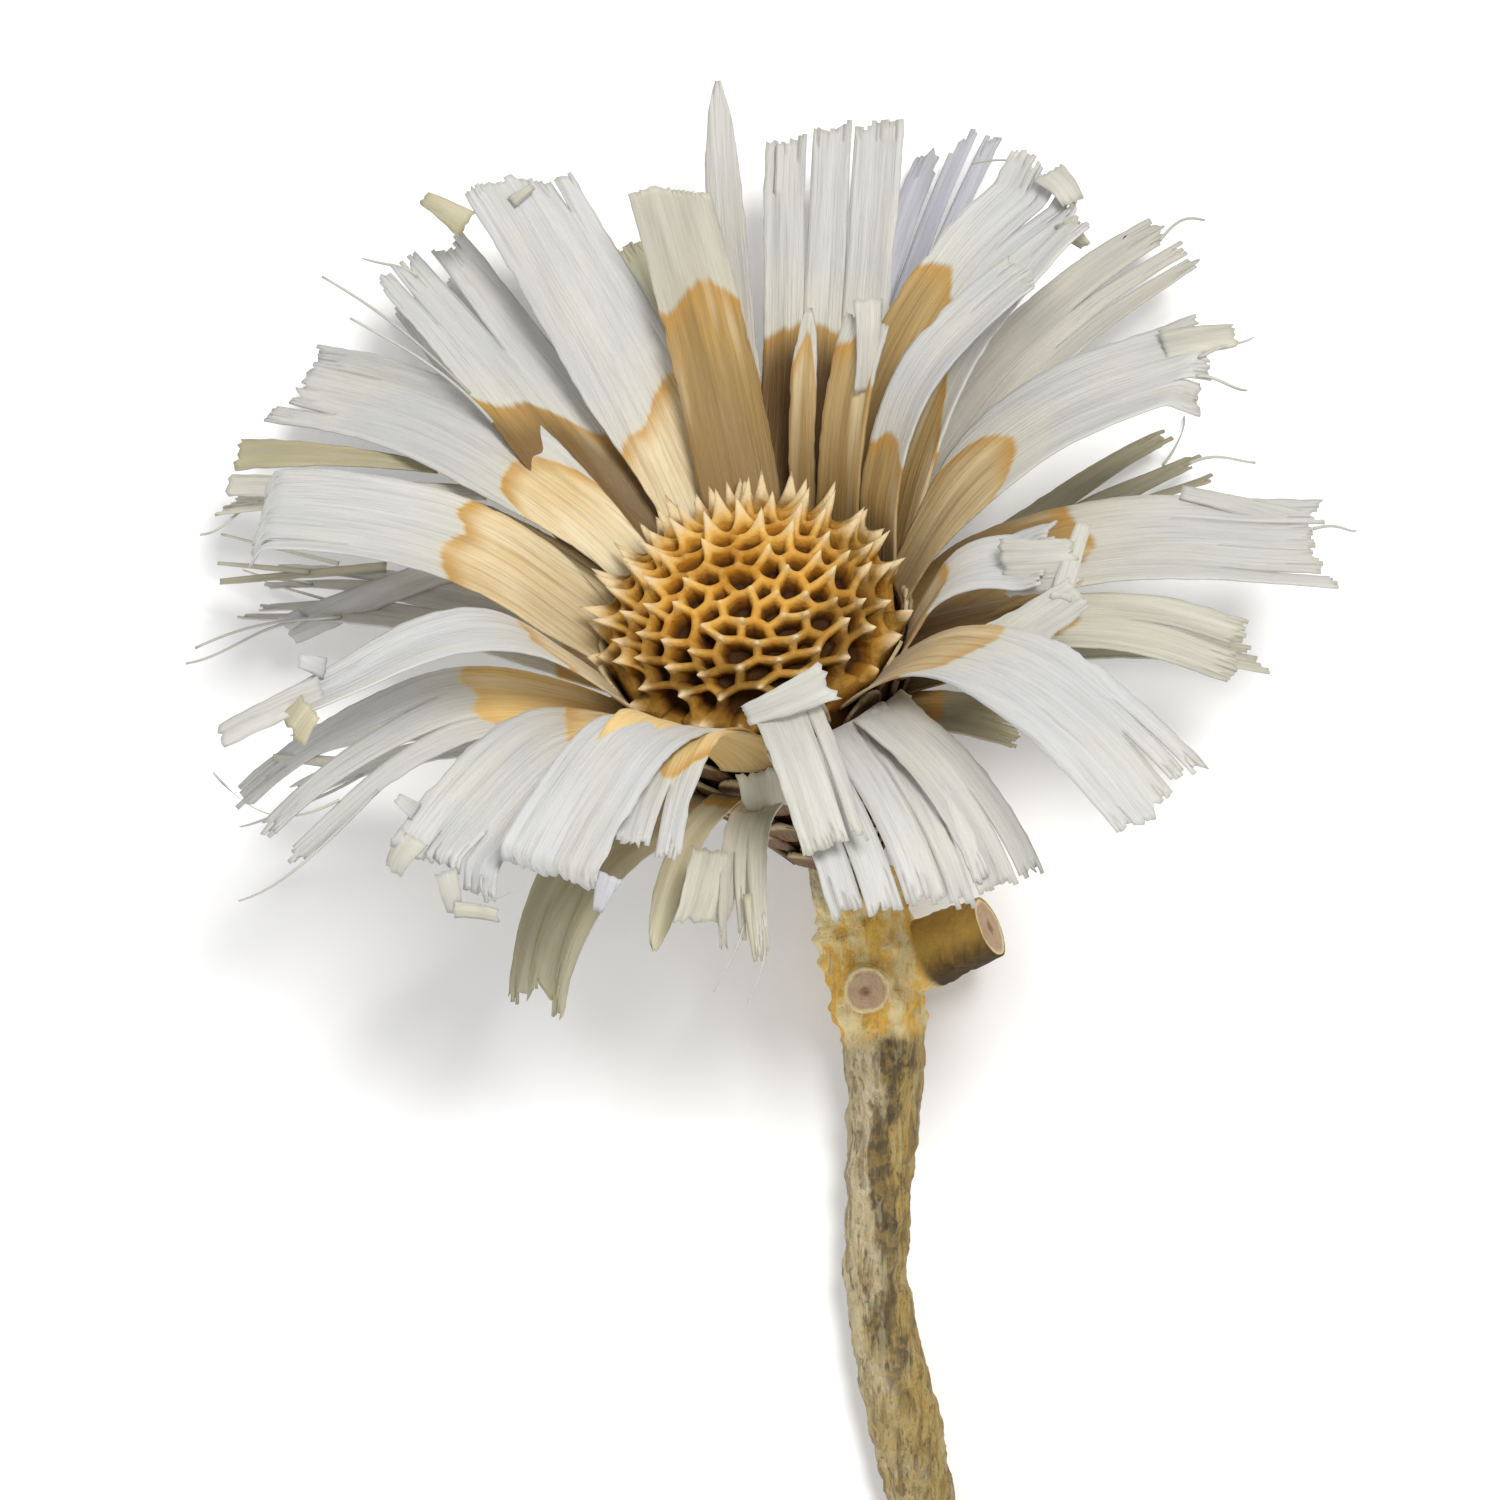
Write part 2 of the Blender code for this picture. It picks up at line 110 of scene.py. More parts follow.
# Each bract: number, row, direction round the head, length, width, lean at the foot and at the end,
# turn along its length, where and how softly it bends, how far it is cupped, sideways shift and end.
Bract = namedtuple("Bract", "number row round length width lean0 lean1 sway bend soft cup shift end")
BRACTS = (
    Bract(1, 1, 83, 32, 7.0, 38, 24, 12, 0.5, 0.5, 0.06, 0, "cut"),
    Bract(2, 1, 99, 38, 9.6, 50, 38, 20, 0.5, 0.5, 0.05, 0, "cut"),
    Bract(3, 1, 127, 41, 9.4, 45, 92, 15, 0.3, 0.5, 0.06, 0, "torn"),
    Bract(4, 1, 160, 35, 10.0, 36, 88, 5, 0.5, 0.5, 0.05, 0, "torn"),
    Bract(5, 1, 204, 38.5, 8.0, 27, 90, -2.6, 0.514, 0.343, 0.05, 0, "cut"),
    Bract(6, 1, 228, 31, 9.4, 38, 104, -6, 0.4, 0.5, 0.05, -2.4, "torn"),
    Bract(7, 1, 247, 32, 8.2, 31, 108, -19, 0.47, 0.5, 0.05, -1.8, "cut"),
    Bract(8, 1, 277, 29, 5.6, 28, 130, -2, 0.5, 0.3, 0.04, -1.6, "cut"),
    Bract(9, 1, 309, 44, 9.0, 42, 112, -13, 0.5, 0.5, 0.04, 0.0, "torn"),
    Bract(10, 1, 334, 21, 6.2, 34, 94, -2, 0.6, 0.3, 0.12, 0, "cut"),
    Bract(11, 1, 5, 37, 10.0, 34, 90, -9, 0.5, 0.5, 0.05, 0, "torn"),
    Bract(12, 1, 25, 32, 5.4, 14, 78, -14, 0.58, 0.5, 0.08, 0, "torn"),
    Bract(13, 1, 45, 21, 4.6, 16, 46, -2, 0.6, 0.5, 0.1, 0, "cut"),
    Bract(14, 1, 62, 20, 2.6, 26, 38, -4, 0.5, 0.5, 0.06, 0, "point"),
    Bract(15, 2, 80, 42, 3.6, 38, 44, -6, 0.5, 0.5, 0.08, 0, "point"),
    Bract(16, 2, 62, 40, 11.0, 46, 58, 7, 0.5, 0.5, 0.04, 0, "torn"),
    Bract(17, 2, 36, 41, 11.4, 28, 84, -13, 0.6, 0.5, 0.05, 0, "torn"),
    Bract(18, 2, 4, 38.5, 10.6, 62, 108, -9, 0.3, 0.5, 0.04, 0, "torn"),
    Bract(19, 2, 345, 30, 6.8, 66, 110, -12, 0.4, 0.5, 0.06, 0, "torn"),
    Bract(20, 2, 307, 32, 5.6, 34, 142, -22, 0.46, 0.5, 0.06, -4.4, "cut"),
    Bract(21, 2, 287, 30, 11.0, 34, 142, -14, 0.48, 0.5, 0.04, -2.0, "torn"),
    Bract(22, 2, 261, 28, 8.4, 23, 118, -20, 0.54, 0.5, 0.05, -4.8, "cut"),
    Bract(23, 2, 202, 37, 8.4, 38, 112, -4, 0.4, 0.5, 0.05, -3.5, "torn"),
    Bract(24, 2, 137, 43, 4.6, 54, 102, 17, 0.42, 0.5, 0.12, 0, "torn"),
    Bract(25, 2, 117, 40, 9.0, 52, 60, 3, 0.5, 0.5, 0.08, 0, "torn"),
    Bract(26, 3, 117, 44, 7.8, 70, 70, -4, 0.5, 0.5, 0.06, 0, "torn"),
    Bract(27, 3, 92, 37, 6.4, 58, 68, 11, 0.5, 0.5, 0.08, 0, "cut"),
    Bract(28, 3, 60, 48, 5.6, 59, 78, -6, 0.55, 0.5, 0.1, 0, "torn"),
    Bract(29, 3, 42, 47, 8.6, 58, 94, -16, 0.53, 0.5, 0.06, 0, "torn"),
    Bract(30, 4, 29, 38, 7.2, 80, 102, -2, 0.53, 0.5, 0.1, 0, "torn"),
    Bract(31, 3, 354, 32, 5.0, 78, 118, 0, 0.44, 0.5, 0.08, 0, "torn"),
    Bract(32, 3, 332, 12.5, 5.0, 70, 112, -4, 0.4, 0.5, 0.06, 0, "torn"),
    Bract(33, 3, 262, 25, 4.0, 54, 150, -10, 0.6, 0.5, 0.06, -1.5, "torn"),
    Bract(34, 3, 240, 19, 2.8, 66, 120, 0, 0.5, 0.5, 0.1, 0, "point"),
    Bract(35, 4, 226, 29, 7.2, 52, 154, 0, 0.44, 0.5, 0.08, -3.0, "torn"),
    Bract(36, 3, 147, 42, 7.6, 64, 100, 0, 0.3, 0.5, 0.06, 0, "torn"),
    Bract(37, 3, 180, 34, 5.6, 62, 112, -4, 0.3, 0.5, 0.06, -2.0, "torn"),
)

# Wear of each bract: length of the tan foot, how far that foot is arched or slanted, tint from silvery
# white (0) to straw (1) or lilac grey (below 0), with dark olive painted shade above 1, depth of the tan,
# raggedness of the end, lengthwise waviness, widening and sideways drift of the outer half, how much shorter
# one side is, slits as (place across, place along, opening) and folds as (place along, skew, angle). On the
# bracts that lie in shade, the straw and lilac tints and the deeper tans are partly painted shade, and a
# depth above 1 paints the foot nearly black as shade down between the other bracts.
Wear = namedtuple("Wear", "tan arch slant tint deep rag wave fan drift skew slits folds",
                  defaults=(0, 0, 0, (), ()))
WEAR = {
    1: Wear(22.0, 0.1, 0.0, 0.5, 1.0, 0.4, 0.1, skew=-2.2),
    2: Wear(13.5, 0.05, -0.4, 0.0, 0.15, 0.9, 0.1, drift=0.9, skew=-2.8, slits=((-0.62, 0.88, 0.1),)),
    3: Wear(16.5, 0.6, 0.15, 0.02, 0.05, 1.5, 0.09, fan=0.06, drift=-0.6,
            slits=((0.45, 0.84, 0.2), (-0.55, 0.8, 0.1))),
    4: Wear(17.0, 0.12, 0.1, 0.02, 0.1, 0.9, 0.06, slits=((0.75, 0.7, 0.2),), folds=((0.9, 0.0, -55),)),
    5: Wear(14.5, 0.1, 0.0, 0.0, 0.1, 0.8, 0.07, fan=-0.5, drift=0.2, slits=((-0.5, 0.8, 0.1),)),
    6: Wear(12.5, 0.5, 0.2, 0.0, -0.4, 1.4, 0.12, fan=0.04, drift=-0.8,
            slits=((-0.4, 0.88, 0.15), (0.3, 0.82, 0.2)), folds=((0.88, 0.2, -60),)),
    7: Wear(9.0, 0.2, 0.0, 0.0, -0.5, 0.7, 0.16, fan=0.08, drift=-0.4, folds=((0.93, 0.05, -75),)),
    8: Wear(3.0, 0.2, 0.0, 0.3, 0.2, 1.0, 0.08, slits=((0.55, 0.45, 0.2),)),
    9: Wear(18.5, 0.25, 0.35, 0.0, 0.65, 1.2, 0.07, fan=0.04, drift=-0.6, skew=0.8,
            slits=((0.35, 0.84, 0.1), (0.65, 0.76, 0.15))),
    10: Wear(9.5, 0.2, 0.0, 0.0, 0.9, 1.0, 0.2, slits=((0.1, 0.7, 0.3),), folds=((0.8, 0.3, 30),)),
    11: Wear(18.0, 0.55, -0.25, 0.12, 0.6, 1.4, 0.06, slits=((-0.3, 0.9, 0.1), (0.45, 0.92, 0.1)),
             folds=((0.92, -0.7, -50),)),
    12: Wear(13.0, 0.25, 0.0, 0.05, 0.95, 0.9, 0.07, slits=((0.2, 0.8, 0.15),)),
    13: Wear(19.5, 0.3, 0.1, 0.1, 0.85, 0.6, 0.1),
    14: Wear(18.0, 0.4, 0.0, 0.15, 0.85, 0.3, 0.05),
    15: Wear(20.0, 0.3, 0.0, 0.22, 1.2, 0.3, 0.05),
    16: Wear(21.0, 0.08, 0.0, 0.1, 2.0, 1.0, 0.1, fan=0.12, drift=0.9, skew=1.8,
             slits=((-0.2, 0.52, -0.25), (0.36, 0.46, -0.15), (0.8, 0.86, 0.0))),
    17: Wear(25.0, 0.25, 0.5, 0.0, 0.9, 1.4, 0.1, fan=0.05, skew=-1.2,
             slits=((-0.5, 0.84, 0.1), (0.1, 0.8, 0.1)), folds=((0.92, 0.3, 40),)),
    18: Wear(17.0, 0.1, 0.1, 0.15, 1.25, 1.6, 0.08, fan=0.15, drift=-1.0,
             slits=((-0.6, 0.72, 0.2), (0.0, 0.74, 0.1), (0.5, 0.64, 0.15))),
    19: Wear(15.0, 0.2, 0.0, 0.5, 1.6, 1.2, 0.1, drift=1.4, slits=((0.2, 0.66, 0.3),)),
    20: Wear(3.0, 0.2, 0.0, 0.25, 0.3, 1.4, 0.08, fan=0.1, drift=0.8, slits=((0.2, 0.7, 0.2),)),
    21: Wear(3.0, 0.2, 0.0, 0.12, 0.3, 1.8, 0.07, fan=0.22, drift=1.2,
             slits=((-0.55, 0.5, 0.1), (-0.12, 0.4, 0.05), (0.42, 0.36, 0.06), (0.74, 0.74, 0.1))),
    22: Wear(20.5, 0.2, 0.0, 0.03, -0.7, 0.8, 0.06, fan=0.08, drift=-1.0, slits=((0.5, 0.75, 0.2),)),
    23: Wear(15.5, 0.2, 0.0, 0.08, -0.8, 2.4, 0.08, drift=-1.0,
             slits=((-0.3, 0.48, 0.9), (0.35, 0.42, 1.0))),
    24: Wear(17.0, 0.2, 0.0, 0.6, 0.3, 1.6, 0.1, slits=((0.2, 0.7, 0.3),)),
    25: Wear(20.5, 0.15, 0.5, 0.0, 1.8, 2.0, 0.1, slits=((-0.2, 0.66, 0.25), (0.5, 0.8, 0.3))),
    26: Wear(23.0, 0.1, 0.2, 0.06, 2.0, 1.8, 0.08, fan=0.1, drift=-2.2,
             slits=((-0.5, 0.8, 0.4), (0.1, 0.62, 0.4))),
    27: Wear(16.0, 0.2, 0.0, 0.9, 1.6, 0.8, 0.08),
    28: Wear(14.0, 0.2, 0.0, -0.5, 1.9, 2.6, 0.14, fan=0.25, drift=0.4, skew=1.0,
             slits=((-0.4, 0.56, 0.4), (0.3, 0.5, 0.4))),
    29: Wear(9.5, 0.2, 0.0, 0.4, 1.9, 2.2, 0.12, slits=((-0.45, 0.62, 0.4), (0.1, 0.72, 0.3))),
    30: Wear(12.0, 0.2, 0.0, 1.6, 1.8, 2.8, 0.14,
             slits=((-0.6, 0.7, 0.5), (-0.2, 0.62, 0.5), (0.3, 0.55, 0.5))),
    31: Wear(13.0, 0.2, 0.0, 0.6, 1.8, 1.8, 0.1, slits=((0.0, 0.6, 0.3),)),
    32: Wear(4.0, 0.2, 0.0, 1.5, 1.6, 1.4, 0.12, slits=((0.2, 0.6, 0.3),)),
    33: Wear(4.0, 0.2, 0.0, 0.5, 0.3, 3.0, 0.14, slits=((-0.5, 0.55, 0.5), (0.1, 0.45, 0.5))),
    34: Wear(3.0, 0.2, 0.0, 0.95, 0.8, 0.8, 0.08),
    35: Wear(4.0, 0.2, 0.0, 1.25, 0.4, 2.6, 0.25, fan=-0.3, drift=-1.2,
             slits=((-0.45, 0.6, 0.35), (0.15, 0.42, 0.5))),
    36: Wear(9.0, 0.2, 0.0, 0.35, 1.0, 2.6, 0.12, fan=-0.3, drift=-1.6,
             slits=((-0.5, 0.66, 0.5), (0.0, 0.46, 0.7), (0.55, 0.55, 0.6))),
    37: Wear(8.0, 0.2, 0.0, 0.2, 0.5, 2.6, 0.1, fan=0.1, drift=-5.0, slits=((0.1, 0.4, 0.7),)),
}

# Loose strips and flaps: number of the bract that they belong to, start and end about the dome's foot in
# the lying piece, the width at each, how far the middle arches up, tilt about the run, tint, which as on the
# bracts partly stands in for shade, and whether the strip has the foot's colour.
Scrap = namedtuple("Scrap", "host start end width0 width1 arch tilt tint gold", defaults=(False,))
SCRAPS = (
    Scrap(8, (0.6, 7.7, 18.0), (-6.3, 4.8, 19.8), 1.7, 3.4, 0.5, 12, 0.0),
    Scrap(10, (-27.0, -8.1, 16.0), (-24.9, -1.7, 18.5), 1.2, 1.8, 0.4, 10, 0.0),
    Scrap(10, (-26.6, -2.4, 18.0), (-18.2, 3.0, 14.0), 3.0, 4.4, 0.6, -14, 0.0),
    Scrap(10, (-20.2, -4.4, 15.2), (-26.4, -4.8, 17.6), 4.8, 4.0, 0.5, 10, 0.0),
    Scrap(11, (-33.6, -22.8, 5.6), (-39.8, -23.7, 6.4), 2.8, 2.0, 0.4, -12, 0.15),
    Scrap(18, (-36.0, -11.3, -5.0), (-47.0, -8.8, -6.5), 1.2, 1.9, 0.4, -6, -0.05),
    Scrap(13, (-9.2, -19.4, 1.0), (-9.7, -27.4, 2.2), 1.4, 2.6, 0.6, 24, 0.0),
    Scrap(17, (-24.6, -38.0, -2.2), (-26.9, -35.2, -0.8), 3.0, 2.0, 0.6, -20, 0.0),
    Scrap(17, (-25.9, -33.7, -1.0), (-27.9, -31.7, -2.6), 2.2, 1.2, 0.3, 40, 0.4),
    Scrap(6, (27.1, 17.2, 22.6), (28.9, 20.2, 20.6), 2.6, 1.6, 0.5, 20, 0.05),
    Scrap(6, (24.6, 20.0, 25.4), (23.8, 23.4, 24.6), 1.9, 1.3, 0.4, 0, 0.05),
    Scrap(6, (24.0, 23.2, 24.6), (20.3, 23.7, 24.2), 1.4, 1.1, -0.3, 20, 0.2),
    Scrap(6, (27.0, 15.4, 21.6), (28.6, 14.2, 22.4), 1.6, 0.8, 0.2, 10, -0.1),
    Scrap(5, (34.2, 3.9, 23.4), (36.5, 3.2, 24.6), 1.8, 1.1, 0.3, 10, -0.2),
    Scrap(5, (34.4, 5.5, 22.6), (42.5, 9.4, 24.5), 2.4, 1.9, 0.6, 10, -0.05),
    Scrap(5, (35.2, 6.8, 22.4), (36.9, 9.1, 21.8), 2.4, 3.0, 0.2, 10, 0.85),
    Scrap(23, (39.4, 11.0, 14.6), (32.6, 11.6, 15.4), 0.6, 1.1, -0.3, 10, 0.2),
    Scrap(2, (23.9, -33.9, -10.4), (27.8, -36.3, -10.6), 2.6, 1.2, 0.3, 10, 0.7),
    Scrap(2, (20.4, -36.0, -9.8), (18.6, -37.4, -9.8), 1.1, 0.6, 0.2, 10, 0.2),
    Scrap(36, (25.4, -5.4, -6.0), (40.1, 0.1, -10.0), 2.2, 2.8, 0.8, 10, -0.05),
    Scrap(36, (40.4, -0.4, -9.8), (38.6, -1.4, -8.8), 1.6, 1.0, 0.2, 10, -0.15),
    Scrap(36, (19.6, -4.7, -4.0), (28.6, -3.7, -9.0), 1.6, 1.8, 0.3, 10, 0.95, True),
    Scrap(24, (26.7, -13.5, -16.0), (44.4, -15.0, -20.0), 0.8, 3.2, 1.0, 30, 0.75),
    Scrap(24, (22.4, -11.4, -9.0), (45.0, -12.3, -14.0), 1.2, 1.9, 1.0, 6, 0.1),
    Scrap(36, (31.5, -5.4, -9.0), (46.2, -4.2, -13.0), 0.9, 0.5, 0.3, 0, 0.5),
    Scrap(36, (35.7, -5.7, -10.0), (46.0, -8.3, -12.0), 0.4, 0.2, -0.6, 0, 0.3),
    Scrap(36, (38.2, -5.0, -10.0), (46.3, -5.8, -12.0), 0.5, 0.3, 0.5, 0, 0.4),
    Scrap(33, (-0.6, 13.0, 10.5), (1.2, 23.0, 13.5), 2.4, 2.2, 0.6, 10, 0.25),
    Scrap(33, (2.6, 18.5, 12.0), (4.3, 24.7, 13.0), 4.6, 4.2, 0.6, -10, 0.25),
    Scrap(33, (0.4, 22.0, 12.4), (-0.3, 27.5, 12.4), 0.7, 0.3, 0.4, 10, 0.6),
    Scrap(7, (11.2, 20.1, 15.0), (12.2, 23.2, 14.0), 2.2, 0.8, 0.2, 20, -0.25),
    Scrap(33, (-1.3, 15.1, 2.4), (-0.8, 11.9, 5.4), 3.4, 4.4, 0.5, 0, 0.35),
)
SCRAP_COLUMN = 0.35
SCRAP_ROW = 0.5
ROOT_REACH = 0.5            # how far round its nearest point a strip looks for what it rests on
ROOT_RISE = 0.12            # root of a strip above what it rests on
PATTERN_APART = 20.0        # shift of a loose part's pattern along the sheet
OFF_FOOT = 6.0              # stain of a loose part, well inside or outside the tan foot

# Fine loose fibres: number of the bract, place along, place across, heading, length, curl
Fibre = namedtuple("Fibre", "host along across heading length curl")
FIBRES = (
    Fibre(25, 0.62, 4.6, 10, 16.0, 6),
    Fibre(25, 0.55, 4.6, 6, 15.0, 12),
    Fibre(25, 0.92, 1.0, 12, 5.0, 20),
    Fibre(36, 0.7, 1.5, 12, 13.0, 14),
    Fibre(36, 0.74, -0.5, -8, 11.0, -12),
    Fibre(36, 0.8, 2.6, 24, 10.0, 24),
    Fibre(36, 0.82, -2.4, -20, 8.0, 10),
    Fibre(24, 0.9, 0.6, 18, 6.0, 30),
    Fibre(23, 0.72, 1.4, 20, 15.0, -30),
    Fibre(23, 0.8, -1.8, -16, 12.0, -40),
    Fibre(37, 0.75, 0.5, 14, 13.0, -25),
    Fibre(17, 0.93, 3.0, 40, 6.0, 70),
    Fibre(11, 0.94, 0.4, 8, 5.5, 20),
    Fibre(11, 0.94, -1.4, -12, 4.5, -20),
    Fibre(30, 0.88, 1.0, 16, 7.0, 20),
    Fibre(30, 0.9, -1.2, -14, 6.0, -10),
    Fibre(33, 0.8, 0.4, 8, 7.0, -20),
    Fibre(33, 0.82, -1.0, -16, 6.0, -10),
    Fibre(6, 0.94, 0.6, 20, 5.0, 60),
    Fibre(18, 0.95, 1.2, 10, 4.5, 10),
    Fibre(29, 0.94, 1.0, 12, 5.0, -10),
)
FIBRE_STEPS = 14
FIBRE_WIDTH = 0.10

# Stem: (place about the dome's foot in the lying piece, radius), and stubs as start, end and two radii.
# Vertices carry 1 on sawn wood, their share out from its middle, 1 at the joint and the way they face, which
# places the painted light and shade on the bark and the stub.
STEM_LAYERS = ("cut", "spread", "joint", "across")
STEM = (
    ((-7.65, 18.4, -17.8), 3.1), ((-8.3, 21.0, -20.0), 3.3), ((-9.6, 24.0, -21.3), 3.9),
    ((-10.3, 27.7, -21.8), 4.3), ((-10.9, 32.0, -22.2), 4.0), ((-11.4, 37.0, -22.6), 3.45),
    ((-11.3, 42.5, -23.0), 3.0), ((-10.9, 50.0, -23.6), 2.8), ((-10.9, 57.0, -24.2), 2.75),
    ((-11.9, 63.0, -24.8), 2.9), ((-13.4, 69.5, -25.3), 3.0), ((-15.0, 77.0, -25.8), 2.8),
    ((-16.9, 87.0, -26.3), 2.75),
)
STEM_SIDES = 44
STEM_STEP = 0.36
SIDE_STUB = ((-11.5, 29.4, -22.2), (-20.4, 25.6, -18.6), 3.2, 2.75)
FRONT_STUB = ((-10.2, 30.0, -21.5), (-9.8, 31.0, -16.4), 2.5, 2.05)
SIDE_BARK, FRONT_BARK = 2.0, 1.0                    # joint value of each stub's bark
STUB_SIDES = 28
STUB_STEP = 0.5
KNOT_FROM, KNOT_TO = (19.0, 5.0), (32.5, 4.5)       # where along the stem, over which length
WORN_FROM = (58.0, 16.0)
BARK_WAVES = (              # height, waves round the stem, waves along it, place in the noise
    (0.26, 2.2, 0.10, 0.0), (0.30, 1.3, 0.42, 9.0), (0.20, 3.6, 0.60, 5.0), (0.16, 7.0, 0.7, 3.0),
    (0.12, 4.0, 2.4, 17.0),
)
KNOT_WAVES = ((0.95, 2.1, 0.42), (0.60, 4.5, 0.9))
KNOBS = (                   # place along the stem, side, height, spread
    (29.0, 160, 0.5, 2.2), (36.0, 20, 0.45, 1.6), (47.0, -60, 0.55, 1.4), (52.5, 175, 0.35, 1.2),
    (58.0, 120, 0.5, 1.3), (66.0, 200, 0.35, 1.5), (72.0, 0, 0.6, 1.4), (80.0, 140, 0.4, 1.5),
)
SAW_RINGS = (0.94, 0.86, 0.66, 0.40, 0.16, 0.08)    # steps of a sawn face towards its middle
SAW_EDGE = 0.9              # rings beyond this share are still half bark

# Stage, in metres: name, place from the dome's foot, diameter and colour of each light
LIGHTS = (
    ("key_light", (-0.17, -0.24, 0.75), 0.22, (1.0, 0.99, 0.97)),
    ("fill_light", (0.30, 0.60, 0.50), 0.7, (0.95, 0.97, 1.0)),
)
FLOOR_SIZE = 2.5
SENSOR_WIDTH = 36.0         # millimetres, as Blender counts it
CAMERA_SHIFT = (0.17 * MM, 10.4 * MM)
CLIP = (0.01, 20.0)


# ---------------------------------------------------------------- small maths

def smooth(x):
    """Eased 0 to 1 for x from 0 to 1."""
    x = min(max(x, 0.0), 1.0)
    return x * x * (3.0 - 2.0 * x)


def ramp(x, start, length):
    """Eased 0 to 1 from a start on, over a length."""
    return smooth((x - start) / length)


def mix(a, b, x):
    return a + (b - a) * x


def chance(*seed):
    """Steady pseudo-random number from 0 to 1."""
    value = 0.0
    for k, s in enumerate(seed):
        value += s * (12.9898 + 65.233 * k)
    value = math.sin(value) * 43758.5453
    return value - math.floor(value)


def ripple(x, y, z=0.0):
    """Smooth noise from -1 to 1."""
    return noise.noise(Vector((x, y, z)))


def lie_matrix():
    """Places the lying piece, laid out about the dome's foot in millimetres, in the row frame."""
    rest = Matrix.Rotation(math.radians(REST_ROLL), 4, "Y")
    return Matrix.Scale(MM, 4) @ Matrix.Translation(DOME_FOOT) @ rest


def head_matrix():
    """Places the flower's own frame, in millimetres and with the head's axis up, in the row frame."""
    rise = math.radians(HEAD_RISE)
    turn = math.radians(HEAD_TURN)
    axis = Vector((math.cos(rise) * math.sin(turn), -math.cos(rise) * math.cos(turn), math.sin(rise)))
    right = Vector((-math.cos(turn), -math.sin(turn), 0.0))
    head = Matrix((right, axis.cross(right), axis)).transposed().to_4x4()
    return lie_matrix() @ head


# ---------------------------------------------------------------- objects

def add_piece(name, bm, materials, slot, nodes=()):
    """Turns a mesh into a smooth shaded piece that rides with the flower."""
    mesh = bpy.data.meshes.new(name)
    bm.to_mesh(mesh)
    bm.free()
    mesh.shade_smooth()
    for mat in materials:
        mesh.materials.append(mat)
    obj = bpy.data.objects.new(name, mesh)
    bpy.context.scene.collection.objects.link(obj)
    if nodes:
        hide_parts(*nodes)
    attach(obj, "root")
    return obj


def thicken(obj, thickness):
    """Gives a sheet its thickness, half to each side, and returns the modifier."""
    body = obj.modifiers.new("thickness", "SOLIDIFY")
    body.thickness = thickness
    body.offset = 0.0
    return body


def old_neighbours(face, above):
    """Each corner of an inset or extruded face with the corner that it was drawn from."""
    return [(v, next(e.other_vert(v) for e in v.link_edges if e.other_vert(v) in above)) for v in face.verts]


def edges_within(verts):
    """Edges between two of the vertices."""
    inside = set(verts)
    return {e for v in verts for e in v.link_edges if e.other_vert(v) in inside}


# ---------------------------------------------------------------- bract sheets

def base_radius(depth):
    """Radius of the tapering base at a depth below the dome's foot."""
    for (d0, r0), (d1, r1) in zip(BASE_RINGS, BASE_RINGS[1:]):
        if depth <= d1:
            return mix(r0, r1, max(depth - d0, 0.0) / (d1 - d0))
    return BASE_RINGS[-1][1]


def base_centre(depth):
    """How far the bent base has moved sideways at a depth."""
    return BASE_BEND * (depth / BASE_RINGS[-1][0]) ** 2


class Sheet:
    """A bract's flat pattern and the bent surface that it is laid on."""

    def __init__(self, bract):
        self.bract = bract
        self.wear = WEAR[bract.number]
        self.key = bract.number     # seeds what differs from bract to bract
        self.rows = self.spine()

    def spine(self):
        """Points along the middle of the bract, with the way along and across at each."""
        b = self.bract
        depth = ROW_DEPTH[b.row]
        start = base_radius(depth) + SEAT_OFFSET
        around = math.radians(b.round)
        point = Vector((start * math.cos(around) + base_centre(depth), start * math.sin(around), -depth))
        step = b.length / SPINE_STEPS
        rows = []
        for i in range(SPINE_STEPS + 1):
            t = i / SPINE_STEPS
            lean = math.radians(mix(b.lean0, b.lean1, smooth((t - b.bend + b.soft) / (2.0 * b.soft))))
            turn = math.radians(b.round + b.sway * t)
            out = Vector((math.cos(turn), math.sin(turn), 0.0))
            along = out * math.sin(lean) + Vector((0, 0, math.cos(lean)))
            across = Vector((-math.sin(turn), math.cos(turn), 0.0))
            rows.append((point.copy(), along, across))
            point += along * step
        return rows

    def half_width(self, t):
        """Half the bract's width at a share of its length."""
        b = self.bract
        foot, flare = NECKS.get(b.number, (min(ROW_BASE_WIDTH[b.row], b.width), FLARE))
        full = mix(foot, b.width, smooth(t / flare))
        if b.end == "point":
            full *= math.sqrt(max(1.0 - max((t - POINT_START) / (1.0 - POINT_START), 0.0) ** 2.2, 0.02))
        return full / 2.0

    def lay(self, x, y, h):
        """Point of the flat pattern (x across, y along, h above the face) on the bent bract."""
        b = self.bract
        place = y / b.length * SPINE_STEPS
        i = min(max(int(place), 0), SPINE_STEPS - 1)
        share = place - i
        p0, a0, c0 = self.rows[i]
        p1, a1, c1 = self.rows[i + 1]
        if share > 1.0:
            point = p1 + a1 * (share - 1.0) * b.length / SPINE_STEPS
            share = 1.0
        else:
            point = p0.lerp(p1, share)
        along = a0.lerp(a1, share).normalized()
        across = c0.lerp(c1, share).normalized()
        front = along.cross(across).normalized()
        t = min(max(y / b.length, 0.0), 1.0)
        curve = mix(1.0 / base_radius(ROW_DEPTH[b.row]), b.cup, smooth(t / FLARE))
        return point + across * x + front * (h + curve * x * x / 2.0)

    def tan_reach(self, s):
        """Length of the tan foot at a place across the bract."""
        w = self.wear
        lobes = 0.025 * math.cos(s * 5.0 + self.key) + 0.05 * ripple(s * 2.0, self.key * 3.1)
        return w.tan * (1.0 - w.arch * s * s * 0.6 + w.slant * s * 0.5 + lobes)


